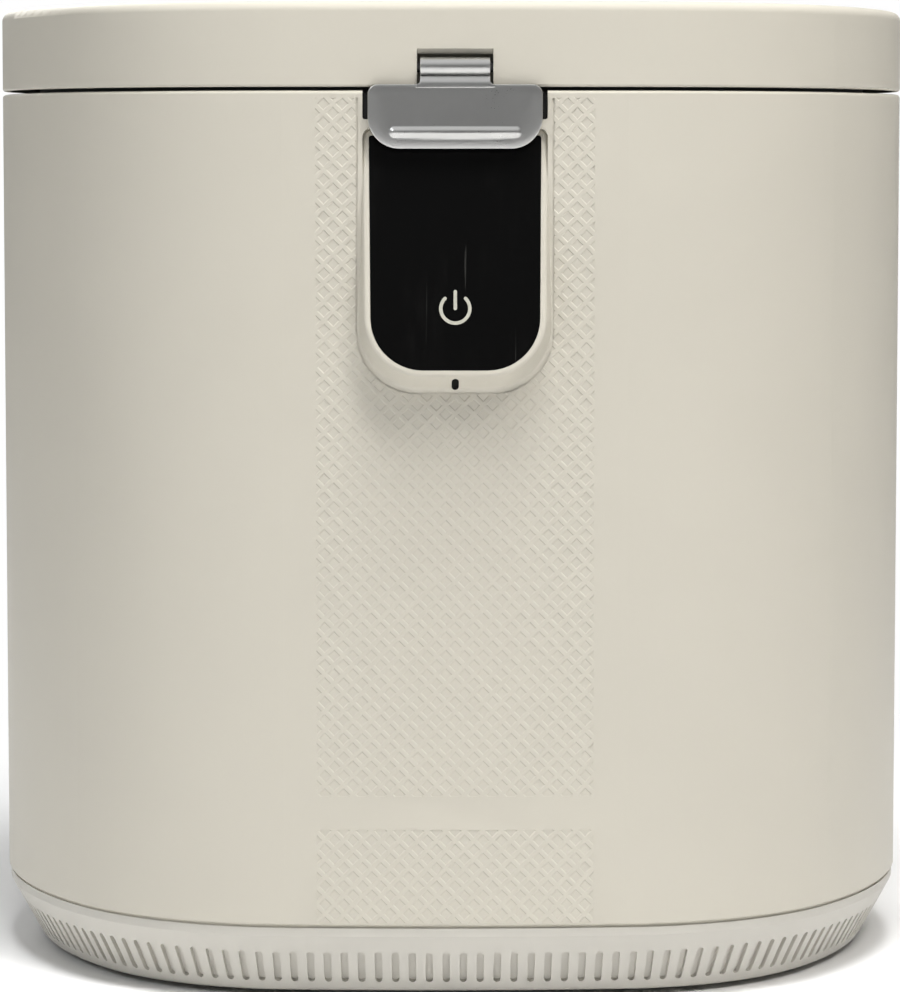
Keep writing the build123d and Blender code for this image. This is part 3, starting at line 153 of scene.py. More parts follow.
# Moulded plastics: a fine spark-eroded grain, faint flow clouds, and light scuffs.
plastics = {
    "warm_cream": {
        "colour": (0.590, 0.560, 0.485), "rough": 0.46,
        "grain": 0.012 * mm, "cloud": 0.010,
    },
    "warm_cream_skirt": {
        "colour": (0.570, 0.550, 0.500), "rough": 0.48,
        "grain": 0.014 * mm, "cloud": 0.010,
    },
    "dark_plastic": {
        "colour": (0.060, 0.060, 0.065), "rough": 0.52,
        "grain": 0.030 * mm, "cloud": 0.10,
    },
    "black_plastic": {
        "colour": (0.014, 0.014, 0.015), "rough": 0.50,
        "grain": 0.030 * mm, "cloud": 0.12,
    },
    "gearbox_black": {
        "colour": (0.022, 0.022, 0.024), "rough": 0.44,
        "grain": 0.035 * mm, "cloud": 0.12,
    },
    "grey_plastic": {
        "colour": (0.230, 0.230, 0.235), "rough": 0.45,
        "grain": 0.020 * mm, "cloud": 0.06,
    },
    "component_plastic": {
        "colour": (0.030, 0.045, 0.100), "rough": 0.35,
        "grain": 0.010 * mm, "cloud": 0.20,
    },
    "fan_plastic": {
        "colour": (0.020, 0.021, 0.023), "rough": 0.38,
        "grain": 0.015 * mm, "cloud": 0.10,
    },
}


plasticSkin = {
    "cloudScale": 14.0,
    "cloudRough": 0.06,           # how far the clouds change the roughness
    "grainScale": 2600.0,
    "grainRough": 0.10,
    "scuffScale": 55.0,
    "scuffStretch": (1.0, 1.0, 5.0),
    "scuffTurn": (0.3, 0.2, 0.5),
    "scuffRough": -0.04,
    "speckShare": 0.10,
    "speckLevel": 1.12,
    "shine": 0.42,
}


def mouldedPlastic(name, look):
    material, wire = startFinish(name)
    place = objectPlace(wire)
    cloud = noise(wire, place, plasticSkin["cloudScale"], 3.0)
    grain = noise(wire, place, plasticSkin["grainScale"], 2.0, 0.6)
    scuffPlace = objectPlace(wire, plasticSkin["scuffStretch"], plasticSkin["scuffTurn"])
    scuff = noise(wire, scuffPlace, plasticSkin["scuffScale"], 5.0, 0.7)
    scuffMask = scuff.between(0.60, 0.74)
    colour = cloud.between(0.30, 0.70).tint(
        rgb(look["colour"], 1.0 - look["cloud"]), rgb(look["colour"], 1.0 + look["cloud"])
    )
    speckMask = grain.between(0.55, 0.80) * plasticSkin["speckShare"]
    speck = speckMask.tint(colour, rgb(look["colour"], plasticSkin["speckLevel"]))
    uneven = (cloud - 0.5) * plasticSkin["cloudRough"] + (grain - 0.5) * plasticSkin["grainRough"]
    rough = uneven + scuffMask * plasticSkin["scuffRough"] + look["rough"]
    return closeFinish(material, wire, {
        "Base Color": speck,
        "Roughness": rough.clamp(),
        "Normal": bumpOf(wire, grain, look["grain"]),
        "Specular IOR Level": plasticSkin["shine"],
    })


# Metals: blasted, ground, cast or plated, told apart by grain, streaks and stain.
metals = {
    "satin_metal": {
        "colour": (0.58, 0.58, 0.57), "rough": 0.30,
        "grain": 0.010 * mm, "size": 1500.0,
        "streak": (1.0, 1.0, 1.0), "stain": 0.04,
    },
    "zinc_steel": {
        "colour": (0.58, 0.60, 0.62), "rough": 0.34,
        "grain": 0.010 * mm, "size": 900.0,
        "streak": (1.0, 1.0, 1.0), "stain": 0.14,
    },
    "ground_steel": {
        "colour": (0.56, 0.56, 0.57), "rough": 0.22,
        "grain": 0.006 * mm, "size": 700.0,
        "streak": (1.0, 1.0, 9.0), "stain": 0.06,
    },
    "bright_pins": {
        "colour": (0.74, 0.57, 0.30), "rough": 0.24,
        "grain": 0.004 * mm, "size": 900.0,
        "streak": (1.0, 1.0, 6.0), "stain": 0.10,
    },
    "bronze": {
        "colour": (0.42, 0.29, 0.16), "rough": 0.42,
        "grain": 0.020 * mm, "size": 1400.0,
        "streak": (1.0, 1.0, 1.0), "stain": 0.20,
    },
    "gear_steel": {
        "colour": (0.40, 0.41, 0.42), "rough": 0.32,
        "grain": 0.012 * mm, "size": 800.0,
        "streak": (1.0, 1.0, 4.0), "stain": 0.16,
    },
    "die_cast": {
        "colour": (0.50, 0.51, 0.52), "rough": 0.45,
        "grain": 0.040 * mm, "size": 420.0,
        "streak": (1.0, 1.0, 1.0), "stain": 0.10,
    },
    "heater_alloy": {
        "colour": (0.46, 0.45, 0.44), "rough": 0.40,
        "grain": 0.020 * mm, "size": 600.0,
        "streak": (1.0, 1.0, 1.0), "stain": 0.22,
    },
    "cast_blades": {
        "colour": (0.36, 0.36, 0.37), "rough": 0.40,
        "grain": 0.050 * mm, "size": 360.0,
        "streak": (1.0, 1.0, 1.0), "stain": 0.18,
    },
}


metalSkin = {
    "grainRough": 0.12,
    "stainScale": 40.0,
    "stainRough": 0.14,
}


def workedMetal(name, look):
    material, wire = startFinish(name)
    grain = noise(wire, objectPlace(wire, look["streak"]), look["size"], 3.0, 0.6)
    stain = noise(wire, objectPlace(wire), metalSkin["stainScale"], 4.0, 0.6)
    colour = stain.between(0.35, 0.70).tint(
        rgb(look["colour"], 1.0 + look["stain"] * 0.5), rgb(look["colour"], 1.0 - look["stain"])
    )
    uneven = (grain - 0.5) * metalSkin["grainRough"] + (stain - 0.5) * metalSkin["stainRough"]
    return closeFinish(material, wire, {
        "Base Color": colour,
        "Metallic": 1.0,
        "Roughness": (uneven + look["rough"]).clamp(),
        "Normal": bumpOf(wire, grain, look["grain"]),
    })


# Rubbers and the lid's seal: dull, faintly dusty.
rubbers = {
    "dark_rubber": {"colour": (0.026, 0.026, 0.026), "dust": (0.080, 0.078, 0.074), "rough": 0.78},
    "grey_seal": {"colour": (0.210, 0.212, 0.215), "dust": (0.270, 0.268, 0.262), "rough": 0.62},
}


rubberSkin = {
    "dustScale": 60.0,
    "dustShare": 0.5,
    "grainScale": 1800.0,
    "grainRough": 0.15,
    "grain": 0.02 * mm,
    "shine": 0.35,
}


def softRubber(name, look):
    material, wire = startFinish(name)
    place = objectPlace(wire)
    dust = noise(wire, place, rubberSkin["dustScale"], 5.0, 0.65)
    grain = noise(wire, place, rubberSkin["grainScale"], 2.0)
    dustMask = dust.between(0.50, 0.75) * rubberSkin["dustShare"]
    colour = dustMask.tint(rgb(look["colour"]), rgb(look["dust"]))
    return closeFinish(material, wire, {
        "Base Color": colour,
        "Roughness": ((grain - 0.5) * rubberSkin["grainRough"] + look["rough"]).clamp(),
        "Normal": bumpOf(wire, grain, rubberSkin["grain"]),
        "Specular IOR Level": rubberSkin["shine"],
    })


# The back-printed touch panel: near black, with wipe marks and hairline scratches.
panelLook = {
    "black": (0.0030, 0.0030, 0.0030),
    "haze": (0.0070, 0.0069, 0.0066),
    "scratch": (0.030, 0.030, 0.028),
    "rough": 0.10,
    "shine": 0.08,
    "wipeScale": 22.0,
    "wipeStretch": (7.0, 1.0, 1.0),
    "wipeRough": 0.10,
    "smearScale": 30.0,
    "smearTurn": (0.0, 0.6, 0.0),
    "smearHeight": 0.01 * mm,
    "steepScale": 16.0,           # scratches that lean
    "steepStretch": (26.0, 1.0, 1.0),
    "steepTurn": (0.0, 0.55, 0.0),
    "uprightScale": 12.0,         # and those that stand nearly upright
    "uprightStretch": (34.0, 1.0, 1.0),
    "uprightTurn": (0.0, -0.12, 0.0),
    "markRough": 0.2,
}


def touchGlass(name, look):
    material, wire = startFinish(name)
    wipe = noise(wire, objectPlace(wire, look["wipeStretch"]), look["wipeScale"], 5.0, 0.6)
    smearPlace = objectPlace(wire, (1.0, 1.0, 1.0), look["smearTurn"])
    smear = noise(wire, smearPlace, look["smearScale"], 3.0)
    steepPlace = objectPlace(wire, look["steepStretch"], look["steepTurn"])
    steep = noise(wire, steepPlace, look["steepScale"], 2.0)
    uprightPlace = objectPlace(wire, look["uprightStretch"], look["uprightTurn"])
    upright = noise(wire, uprightPlace, look["uprightScale"], 2.0)
    scratch = steep.between(0.735, 0.755) + upright.between(0.730, 0.755)
    marks = (scratch * smear.between(0.45, 0.65)).clamp()
    hazeMask = wipe.between(0.48, 0.78) * smear.between(0.35, 0.70)
    haze = hazeMask.tint(rgb(look["black"]), rgb(look["haze"]))
    wiped = wipe.between(0.4, 0.8) * look["wipeRough"]
    colour = marks.tint(haze, rgb(look["scratch"]))
    return closeFinish(material, wire, {
        "Base Color": colour,
        "Roughness": (wiped + marks * look["markRough"] + look["rough"]).clamp(),
        "Normal": bumpOf(wire, smear, look["smearHeight"], 0.3),
        "Specular IOR Level": look["shine"],
    })


# The status light's dark lens, faintly hazed.
lensLook = {
    "colour": (0.0025, 0.0025, 0.0028),
    "hazeLevel": 2.2,
    "hazeScale": 500.0,
    "hazeRough": 0.12,
    "hazeHeight": 0.004 * mm,
    "rough": 0.14,
    "shine": 0.02,
}


def lightWindow(name, look):
    material, wire = startFinish(name)
    haze = noise(wire, objectPlace(wire), look["hazeScale"], 3.0)
    return closeFinish(material, wire, {
        "Base Color": haze.tint(rgb(look["colour"]), rgb(look["colour"], look["hazeLevel"])),
        "Roughness": (haze * look["hazeRough"] + look["rough"]).clamp(),
        "Normal": bumpOf(wire, haze, look["hazeHeight"]),
        "Specular IOR Level": look["shine"],
    })


# The printed power symbol.
printLook = {
    "colour": (0.50, 0.49, 0.42),
    "inkScale": 900.0,
    "inkRough": 0.15,
    "inkHeight": 0.004 * mm,
    "rough": 0.55,
}


def palePrint(name, look):
    material, wire = startFinish(name)
    ink = noise(wire, objectPlace(wire), look["inkScale"], 3.0)
    colour = ink.between(0.3, 0.7).tint(rgb(look["colour"], 0.93), rgb(look["colour"], 1.05))
    return closeFinish(material, wire, {
        "Base Color": colour,
        "Roughness": (ink * look["inkRough"] + look["rough"]).clamp(),
        "Normal": bumpOf(wire, ink, look["inkHeight"]),
    })


# The circuit boards: tracks and tinned pads under a green mask.
boardLook = {
    "mask": (0.010, 0.085, 0.032),
    "trace": (0.020, 0.150, 0.055),
    "traceScale": 120.0,
    "traceHeight": 0.03 * mm,
    "traceRough": 0.10,
    "pad": (0.62, 0.60, 0.55),
    "padScale": 260.0,
    "flowScale": 90.0,
    "flowRough": 0.10,
    "rough": 0.28,
}


def circuitBoard(name, look):
    material, wire = startFinish(name)
    place = objectPlace(wire)
    cells = wire.add(
        "ShaderNodeTexVoronoi",
        {"distance": "CHEBYCHEV", "feature": "F1"},
        {"Vector": place, "Scale": look["padScale"], "Randomness": 0.35},
    )
    lanes = wire.add(
        "ShaderNodeTexVoronoi",
        {"distance": "MANHATTAN", "feature": "DISTANCE_TO_EDGE"},
        {"Vector": place, "Scale": look["traceScale"], "Randomness": 0.9},
    )
    trace = lanes.between(0.02, 0.05)
    pad = 1 - cells.between(0.10, 0.14)
    flow = noise(wire, place, look["flowScale"], 3.0)
    uneven = (1 - trace) * look["traceRough"] + (flow - 0.5) * look["flowRough"]
    board = trace.tint(rgb(look["trace"]), rgb(look["mask"]))
    return closeFinish(material, wire, {
        "Base Color": (pad * flow.between(0.5, 0.56)).tint(board, rgb(look["pad"])),
        "Roughness": (uneven + look["rough"]).clamp(),
        "Normal": bumpOf(wire, trace, look["traceHeight"], 0.5),
    })


# The bucket's speckled coating, rubbed by the arms in level rings.
bucketLook = {
    "coat": (0.050, 0.051, 0.055),
    "fleck": (0.200, 0.205, 0.215),
    "fleckScale": 900.0,
    "fleckHeight": 0.03 * mm,
    "stainScale": 30.0,
    "stainRough": 0.25,
    "worn": (0.300, 0.300, 0.305),
    "wornShare": 0.30,
    "ringScale": 900.0,
    "ringStretch": (0.08, 0.08, 1.0),
    "rough": 0.36,
    "metal": 0.25,
}


def nonStick(name, look):
    material, wire = startFinish(name)
    place = objectPlace(wire)
    fleck = noise(wire, place, look["fleckScale"], 2.0, 0.7)
    stain = noise(wire, place, look["stainScale"], 5.0, 0.6)
    rings = noise(wire, objectPlace(wire, look["ringStretch"]), look["ringScale"], 2.0)
    coat = fleck.between(0.62, 0.72).tint(rgb(look["coat"]), rgb(look["fleck"]))
    wornMask = rings.between(0.62, 0.74) * stain.between(0.45, 0.70) * look["wornShare"]
    worn = wornMask.tint(coat, rgb(look["worn"]))
    return closeFinish(material, wire, {
        "Base Color": worn,
        "Roughness": ((stain - 0.5) * look["stainRough"] + look["rough"]).clamp(),
        "Normal": bumpOf(wire, fleck, look["fleckHeight"], 0.6),
        "Metallic": look["metal"],
    })


# The filter's carbon pellets, with painted shade darkening the gaps between them.
foamLook = {
    "colour": (0.022, 0.022, 0.022),
    # painted shade: how dark the gaps between the pellets are painted, as a share of the colour
    "gapShadeLevel": 0.4,
    "pellet": (0.060, 0.060, 0.062),
    "pelletScale": 420.0,
    "pelletHeight": 0.6 * mm,
    "pelletRough": 0.15,
    "rough": 0.82,
}


def carbonPellets(name, look):
    material, wire = startFinish(name)
    pellets = wire.add(
        "ShaderNodeTexVoronoi", {"feature": "SMOOTH_F1"},
        {"Vector": objectPlace(wire), "Scale": look["pelletScale"], "Smoothness": 0.3},
    )
    # Painted shade: the gaps between the pellets are darkened in the base colour, where shade would
    # fall.
    gapShade = rgb(look["colour"], look["gapShadeLevel"])
    return closeFinish(material, wire, {
        "Base Color": pellets.between(0.1, 0.6).tint(rgb(look["pellet"]), gapShade),
        "Roughness": (pellets * look["pelletRough"] + look["rough"]).clamp(),
        "Normal": bumpOf(wire, 1 - pellets, look["pelletHeight"], 0.8),
    })


finishes = {}
for slotName, look in plastics.items():
    finishes[slotName] = mouldedPlastic(slotName, look)
for slotName, look in metals.items():
    finishes[slotName] = workedMetal(slotName, look)
for slotName, look in rubbers.items():
    finishes[slotName] = softRubber(slotName, look)
finishes["black_glass"] = touchGlass("black_glass", panelLook)
finishes["black_lens"] = lightWindow("black_lens", lensLook)
finishes["pale_print"] = palePrint("pale_print", printLook)
finishes["circuit_board"] = circuitBoard("circuit_board", boardLook)
finishes["coated_bucket"] = nonStick("coated_bucket", bucketLook)
finishes["carbon_foam"] = carbonPellets("carbon_foam", foamLook)

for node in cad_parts.values():
    for socket in node.material_slots:
        socket.material = finishes[socket.material.name.split(".")[0]]
print("finishes:", len(finishes))


def selectAlone(obj):
    bpy.ops.object.select_all(action="DESELECT")
    bpy.context.view_layer.objects.active = obj
    obj.select_set(True)


def editMode(obj, pickMode="FACE"):
    selectAlone(obj)
    bpy.ops.object.mode_set(mode="EDIT")
    bpy.ops.mesh.select_mode(type=pickMode)
    bpy.ops.mesh.select_all(action="DESELECT")


def objectMode():
    bpy.ops.object.mode_set(mode="OBJECT")


def pick(obj, kind, test):
    # Selects corners or edges by place, or faces by place and heading.
    if obj.mode != "EDIT":
        editMode(obj)
    bpy.ops.mesh.select_mode(type=kind)
    bpy.ops.mesh.select_all(action="DESELECT")
    objectMode()
    mesh = obj.data
    if kind == "VERT":
        for vert in mesh.vertices:
            vert.select = test(vert.co)
    if kind == "EDGE":
        for edge in mesh.edges:
            first, last = edge.vertices
            edge.select = test(mesh.vertices[first].co, mesh.vertices[last].co)
    if kind == "FACE":
        for face in mesh.polygons:
            face.select = test(face.center, face.normal)
    bpy.ops.object.mode_set(mode="EDIT")


def pull(step):
    # Draws the picked faces or edges out by a step.
    bpy.ops.mesh.extrude_region_move(TRANSFORM_OT_translate={"value": step})


def faceOutwards():
    bpy.ops.mesh.select_all(action="SELECT")
    bpy.ops.mesh.normals_make_consistent(inside=False)


def applyModifiers(obj):
    selectAlone(obj)
    for modifier in list(obj.modifiers):
        bpy.ops.object.modifier_apply(modifier=modifier.name)


def settle(obj):
    # Puts the place into the mesh, so that the object sits at the origin.
    selectAlone(obj)
    bpy.ops.object.transform_apply(location=True, rotation=True, scale=True)


def dress(obj, name, slotName, body):
    obj.name = name
    obj.data.name = name
    obj.data.materials.clear()
    obj.data.materials.append(finishes[slotName])
    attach(obj, body)


# Sunk squares standing on a corner, in rows that are half a pitch apart.
lattice = {
    "pitch": 6.5 * mm,
    "diagonal": 4.25 * mm,        # of a sunk square
    "slope": 0.30 * mm,           # width of each square's sloping wall
    "depth": 0.22 * mm,
    "firstRow": 314.7 * mm,       # height of the top row's middle
    "half": 48.3 * mm,
    "low": 28.6 * mm,
    "high": 316.8 * mm,
    "bandLow": 61.7 * mm,         # the bare band across the strip
    "bandHigh": 73.5 * mm,
    "overlap": 0.1 * mm,          # how far it laps over the edge of its recess
    "lift": 0.012 * mm,
    "sheet": 0.05 * mm,
    "merge": 0.01 * mm,           # joins each copy to the next
}

# The patch of the strip that the pod takes up, a little wider than the pod.
podPatch = {
    "half": 34.3 * mm,
    "low": 214.5 * mm,
    "high": 330 * mm,
    "corner": 21 * mm,
    "cornerSteps": 14,
    "reach": 20 * mm,             # to the front and to the back of the strip
}


def cutPlane(place, normal, clear):
    bpy.ops.mesh.select_all(action="SELECT")
    bpy.ops.mesh.bisect(plane_co=place, plane_no=normal, clear_outer=clear)


def diamondSheet(size):
    tileSide = size["pitch"] / math.sqrt(2)
    ridge = (tileSide - size["diagonal"] / math.sqrt(2)) / 2
    bpy.ops.mesh.primitive_plane_add(size=tileSide, rotation=(math.pi / 2, math.pi / 4, 0))
    sheet = bpy.context.object
    settle(sheet)
    editMode(sheet)
    bpy.ops.mesh.select_all(action="SELECT")
    bpy.ops.mesh.inset(thickness=ridge - size["slope"] / 2)
    bpy.ops.mesh.inset(thickness=size["slope"], depth=-size["depth"])
    bpy.ops.mesh.select_all(action="SELECT")
    bpy.ops.mesh.duplicate_move(
        TRANSFORM_OT_translate={"value": (size["pitch"] / 2, 0, -size["pitch"] / 2)}
    )
    objectMode()
    columns = 2 * math.ceil(size["half"] / size["pitch"]) + 2
    rows = math.ceil((size["high"] - size["low"]) / size["pitch"]) + 2
    sheet.location = (-size["pitch"] * (columns // 2), 0, size["firstRow"] + size["pitch"])
    settle(sheet)
    across = ("across", columns, (size["pitch"], 0, 0))
    down = ("down", rows, (0, 0, -size["pitch"]))
    for name, count, step in (across, down):
        repeat = sheet.modifiers.new(name, "ARRAY")
        repeat.count = count
        repeat.use_relative_offset = False
        repeat.use_constant_offset = True
        repeat.constant_offset_displace = step
        repeat.use_merge_vertices = True
        repeat.merge_threshold = size["merge"]
    applyModifiers(sheet)
    editMode(sheet)
    lap = size["overlap"]
    bandLow = size["bandLow"] + lap
    bandHigh = size["bandHigh"] - lap
    cutPlane((size["half"] + lap, 0, 0), (1, 0, 0), True)
    cutPlane((-size["half"] - lap, 0, 0), (-1, 0, 0), True)
    cutPlane((0, 0, size["high"] + lap), (0, 0, 1), True)
    cutPlane((0, 0, size["low"] - lap), (0, 0, -1), True)
    cutPlane((0, 0, bandHigh), (0, 0, 1), False)
    cutPlane((0, 0, bandLow), (0, 0, 1), False)
    pick(sheet, "FACE", lambda centre, normal: bandLow < centre.z < bandHigh)
    bpy.ops.mesh.delete(type="FACE")
    bpy.ops.mesh.select_all(action="SELECT")
    bpy.ops.mesh.remove_doubles(threshold=size["merge"] / 2)
    objectMode()
    return sheet


def podCutter(size):
    # A prism as deep as the strip, rounded at its two lower corners.
    middle = (size["low"] + size["high"]) / 2
    bpy.ops.mesh.primitive_plane_add(size=1, rotation=(math.pi / 2, 0, 0))
    cutter = bpy.context.object
    cutter.scale = (2 * size["half"], size["high"] - size["low"], 1)
    cutter.location = (0, -size["reach"], middle)
    settle(cutter)
    pick(cutter, "VERT", lambda place: place.z < middle)
    bpy.ops.mesh.bevel(offset=size["corner"], segments=size["cornerSteps"], affect="VERTICES")
    bpy.ops.mesh.select_all(action="SELECT")
    bpy.ops.mesh.select_mode(type="FACE")
    pull((0, 2 * size["reach"], 0))
    faceOutwards()
    objectMode()
    return cutter


def shapeSheet(sheet, size):
    # The back is closed, the pod's patch is cut out, and the sheet takes the front's curve.
    wall = sheet.modifiers.new("wall", "SOLIDIFY")
    wall.thickness = size["sheet"]
    wall.offset = -1
    applyModifiers(sheet)
    cutter = podCutter(podPatch)
    cut = sheet.modifiers.new("cut", "BOOLEAN")
    cut.operation = "DIFFERENCE"
    cut.object = cutter
    cut.solver = "EXACT"
    applyModifiers(sheet)
    bpy.data.objects.remove(cutter)
    for vert in sheet.data.vertices:
        vert.co.y += frontSkin(vert.co.x) - size["lift"]
    sheet.data.update()


diamonds = diamondSheet(lattice)
shapeSheet(diamonds, lattice)
dress(diamonds, "diamondStrip", "warm_cream", "chassis")
print("diamond strip:", len(diamonds.data.polygons), "faces")


# A pressed plate with a rolled knuckle, softly crowned, with a rib along its foot.
latchPlate = {
    "half": 30.15 * mm,
    "foot": 299.2 * mm,
    "top": 321.4 * mm,
    "face": -153.6 * mm,
    "thick": 1.6 * mm,
    "footCorner": 11.0 * mm,
    "topCorner": 3.5 * mm,
    "rim": 0.45 * mm,
    "crown": ((0.6 * mm, 0.08 * mm), (0.9 * mm, 0.07 * mm), (1.1 * mm, 0.05 * mm)),
    "neckHalf": 12.05 * mm,
    "neckTop": 324.3 * mm,
    "neckCorner": 1.3 * mm,
    "neckBack": 1.5 * mm,         # how far the neck leans back at its top
    "neckBar": 1.3 * mm,          # of the plate's top edge that the neck runs under
    "neckSink": 0.13 * mm,        # its face behind the plate's
    "neckRound": 0.22 * mm,
    "knuckle": 3.35 * mm,
    "roll": (-149.6 * mm, 327.4 * mm),
    "pivot": (-147.8 * mm, 327.4 * mm),
    "rollLip": 1.5 * mm,          # thickness of the rolled sheet at its ends
    "rollHollow": 0.5 * mm,
    "rollSlope": 0.2 * mm,
    "rollSoft": 0.22 * mm,
    "washer": 1.9 * mm,
    "washerEnd": 13.15 * mm,
    "washerLip": 0.5 * mm,
    "washerHollow": 0.05 * mm,
    "washerSoft": 0.1 * mm,
    "ribHalf": 22.6 * mm,
    "ribHeight": 305.0 * mm,
    "ribRadius": 1.75 * mm,
    "ribFoot": 0.6 * mm,          # of the hollow round its foot
    "ribCrest": 0.25 * mm,        # half the width of its flat top
    "ribProud": 0.9 * mm,
    "ribSteps": 9,
    "smooth": math.radians(35),
}


def flatPiece(half, low, high, y):
    # An upright rectangle, left open in edit mode.
    bpy.ops.mesh.primitive_plane_add(size=1, rotation=(math.pi / 2, 0, 0))
    piece = bpy.context.object
    piece.scale = (2 * half, high - low, 1)
    piece.location = (0, y, (low + high) / 2)
    settle(piece)
    editMode(piece)
    return piece


def thicken(thick):
    # Pulls the flat face forward and turns the whole skin outwards.
    bpy.ops.mesh.select_mode(type="FACE")
    bpy.ops.mesh.select_all(action="SELECT")
    pull((0, -thick, 0))
    faceOutwards()


def roundEdge(radius, steps=4):
    # Shrinks the picked face as it comes forward along a quarter circle.
    quarter = math.pi / 2
    for step in range(steps):
        near = quarter * step / steps
        far = quarter * (step + 1) / steps
        bpy.ops.mesh.inset(
            thickness=radius * (math.cos(near) - math.cos(far)),
            depth=radius * (math.sin(far) - math.sin(near)),
        )


def plateBlank(size):
    swell = sum(outward for inward, outward in size["crown"])
    plate = flatPiece(size["half"], size["foot"], size["top"], size["face"] + size["thick"])
    middle = (size["foot"] + size["top"]) / 2
    pick(plate, "VERT", lambda place: place.z < middle)
    bpy.ops.mesh.bevel(offset=size["footCorner"], segments=16, affect="VERTICES")
    pick(plate, "VERT", lambda place: place.z > size["top"] - touching)
    bpy.ops.mesh.bevel(offset=size["topCorner"], segments=10, affect="VERTICES")
    thicken(size["thick"] - size["rim"] - swell)
    pick(plate, "FACE", lambda centre, normal: normal.y < -0.9)
    roundEdge(size["rim"])
    for inward, outward in size["crown"]:
        bpy.ops.mesh.inset(thickness=inward, depth=outward)
    objectMode()
    return plate


def ribShape(share):
    # Hollow at the foot, then rounded over: 0 at the plate and 1 at the crest.
    hollow = 0.3
    if share < hollow:
        return 0.5 * share * share / hollow
    rest = (share - hollow) / (1 - hollow)
    start = 0.5 * hollow
    return start + (1 - start) * math.sin(rest * math.pi / 2)


def makeRib(size):
    # A circle drawn out to a stadium, in rings from the plate's face up to its crest.
    radius = size["ribRadius"] + size["ribFoot"]
    bpy.ops.mesh.primitive_circle_add(
        vertices=34, radius=radius, fill_type="NGON",
        location=(0, size["face"], size["ribHeight"]), rotation=(math.pi / 2, 0, 0),
    )
    rib = bpy.context.object
    settle(rib)
    stretch = size["ribHalf"] - size["ribRadius"]
    for side in (-1, 1):
        pick(rib, "VERT", lambda place: place.x * side > 0)
        bpy.ops.transform.translate(value=(side * stretch, 0, 0))
    bpy.ops.mesh.select_mode(type="FACE")
    bpy.ops.mesh.select_all(action="SELECT")
    steps = size["ribSteps"]
    inward = (radius - size["ribCrest"]) / steps
    for step in range(steps):
        rise = ribShape((step + 1) / steps) - ribShape(step / steps)
        bpy.ops.mesh.inset(thickness=inward, depth=size["ribProud"] * rise)
    objectMode()
    return rib


def joinTo(kept, *others):
    bpy.ops.object.select_all(action="DESELECT")
    for obj in others:
        obj.select_set(True)
    kept.select_set(True)
    bpy.context.view_layer.objects.active = kept
    bpy.ops.object.join()


def seatRib(plate, rib, size):
    # The plate's middle face gives way to the rib, and the two edges are bridged.
    level = size["face"] + touching
    pick(plate, "FACE", lambda centre, normal: centre.y < level and normal.y < -0.9)
    bpy.ops.mesh.delete(type="ONLY_FACE")
    objectMode()
    joinTo(plate, rib)
    editMode(plate, "EDGE")
    bpy.ops.mesh.select_all(action="DESELECT")
    bpy.ops.mesh.select_non_manifold()
    bpy.ops.mesh.bridge_edge_loops()
    faceOutwards()
    objectMode()


def makeNeck(size):
    # Flares into the plate's top edge, and is cut fine enough upwards to be bent.
    low = size["top"] - size["neckBar"]
    flare = size["neckHalf"] + size["neckCorner"]
    back = size["face"] + size["neckSink"] + size["thick"]
    neck = flatPiece(flare + 0.3 * mm, low, size["top"], back)
    for side in (-1, 1):
        cutPlane((side * size["neckHalf"], 0, 0), (1, 0, 0), False)
    top = size["top"] - touching
    half = size["neckHalf"] + touching
    pick(neck, "EDGE", lambda a, b: min(a.z, b.z) > top and max(abs(a.x), abs(b.x)) < half)
    pull((0, 0, size["neckTop"] - size["top"]))
    pick(neck, "VERT", lambda place: abs(place.z - size["top"]) < touching and abs(place.x) < half)
    bpy.ops.mesh.bevel(offset=size["neckCorner"], segments=8, affect="VERTICES")
    bpy.ops.mesh.select_mode(type="FACE")
    bpy.ops.mesh.select_all(action="SELECT")
    bpy.ops.mesh.dissolve_faces()
    thicken(size["thick"] - size["neckRound"])
    pick(neck, "FACE", lambda centre, normal: normal.y < -0.9)
    roundEdge(size["neckRound"], 3)
    cuts = 8
    for cut in range(1, cuts):
        level = size["top"] + (size["neckTop"] - size["top"]) * cut / cuts
        cutPlane((0, 0, level), (0, 0, 1), False)
    objectMode()
    for vert in neck.data.vertices:
        lean = (vert.co.z - size["top"]) / (size["neckTop"] - size["top"])
        if lean > 0:
            vert.co.y += size["neckBack"] * lean * lean
    return neck


def levelRod(half, radius, place):
    # A round rod from side to side, with its axis at this depth and height.
    bpy.ops.mesh.primitive_cylinder_add(
        vertices=64, radius=radius, depth=2 * half,
        location=(0, place[0], place[1]), rotation=(0, math.pi / 2, 0),
    )
    piece = bpy.context.object
    settle(piece)
    return piece


def softenEdges(piece, width):
    # Rounds the sharp edges only.
    soft = piece.modifiers.new("soft", "BEVEL")
    soft.width = width
    soft.segments = 3
    soft.limit_method = "ANGLE"
    soft.angle_limit = math.radians(40)
    applyModifiers(piece)


def makeKnuckle(size):
    roll = levelRod(size["neckHalf"], size["knuckle"], size["roll"])
    pick(roll, "FACE", lambda centre, normal: abs(normal.x) > 0.9)
    bpy.ops.mesh.inset(thickness=size["rollLip"], use_individual=True)
    bpy.ops.mesh.inset(thickness=size["rollSlope"], depth=-size["rollHollow"], use_individual=True)
    objectMode()
    softenEdges(roll, size["rollSoft"])
    return roll


def makeWasher(size):
    # One dark rod through the roll shows only as a washer at each end.
    washer = levelRod(size["washerEnd"], size["washer"], size["pivot"])
    pick(washer, "FACE", lambda centre, normal: abs(normal.x) > 0.9)
    bpy.ops.mesh.inset(thickness=size["washerLip"], depth=-size["washerHollow"], use_individual=True)
    objectMode()
    softenEdges(washer, size["washerSoft"])
    bpy.ops.object.shade_smooth_by_angle(angle=size["smooth"])
    return washer


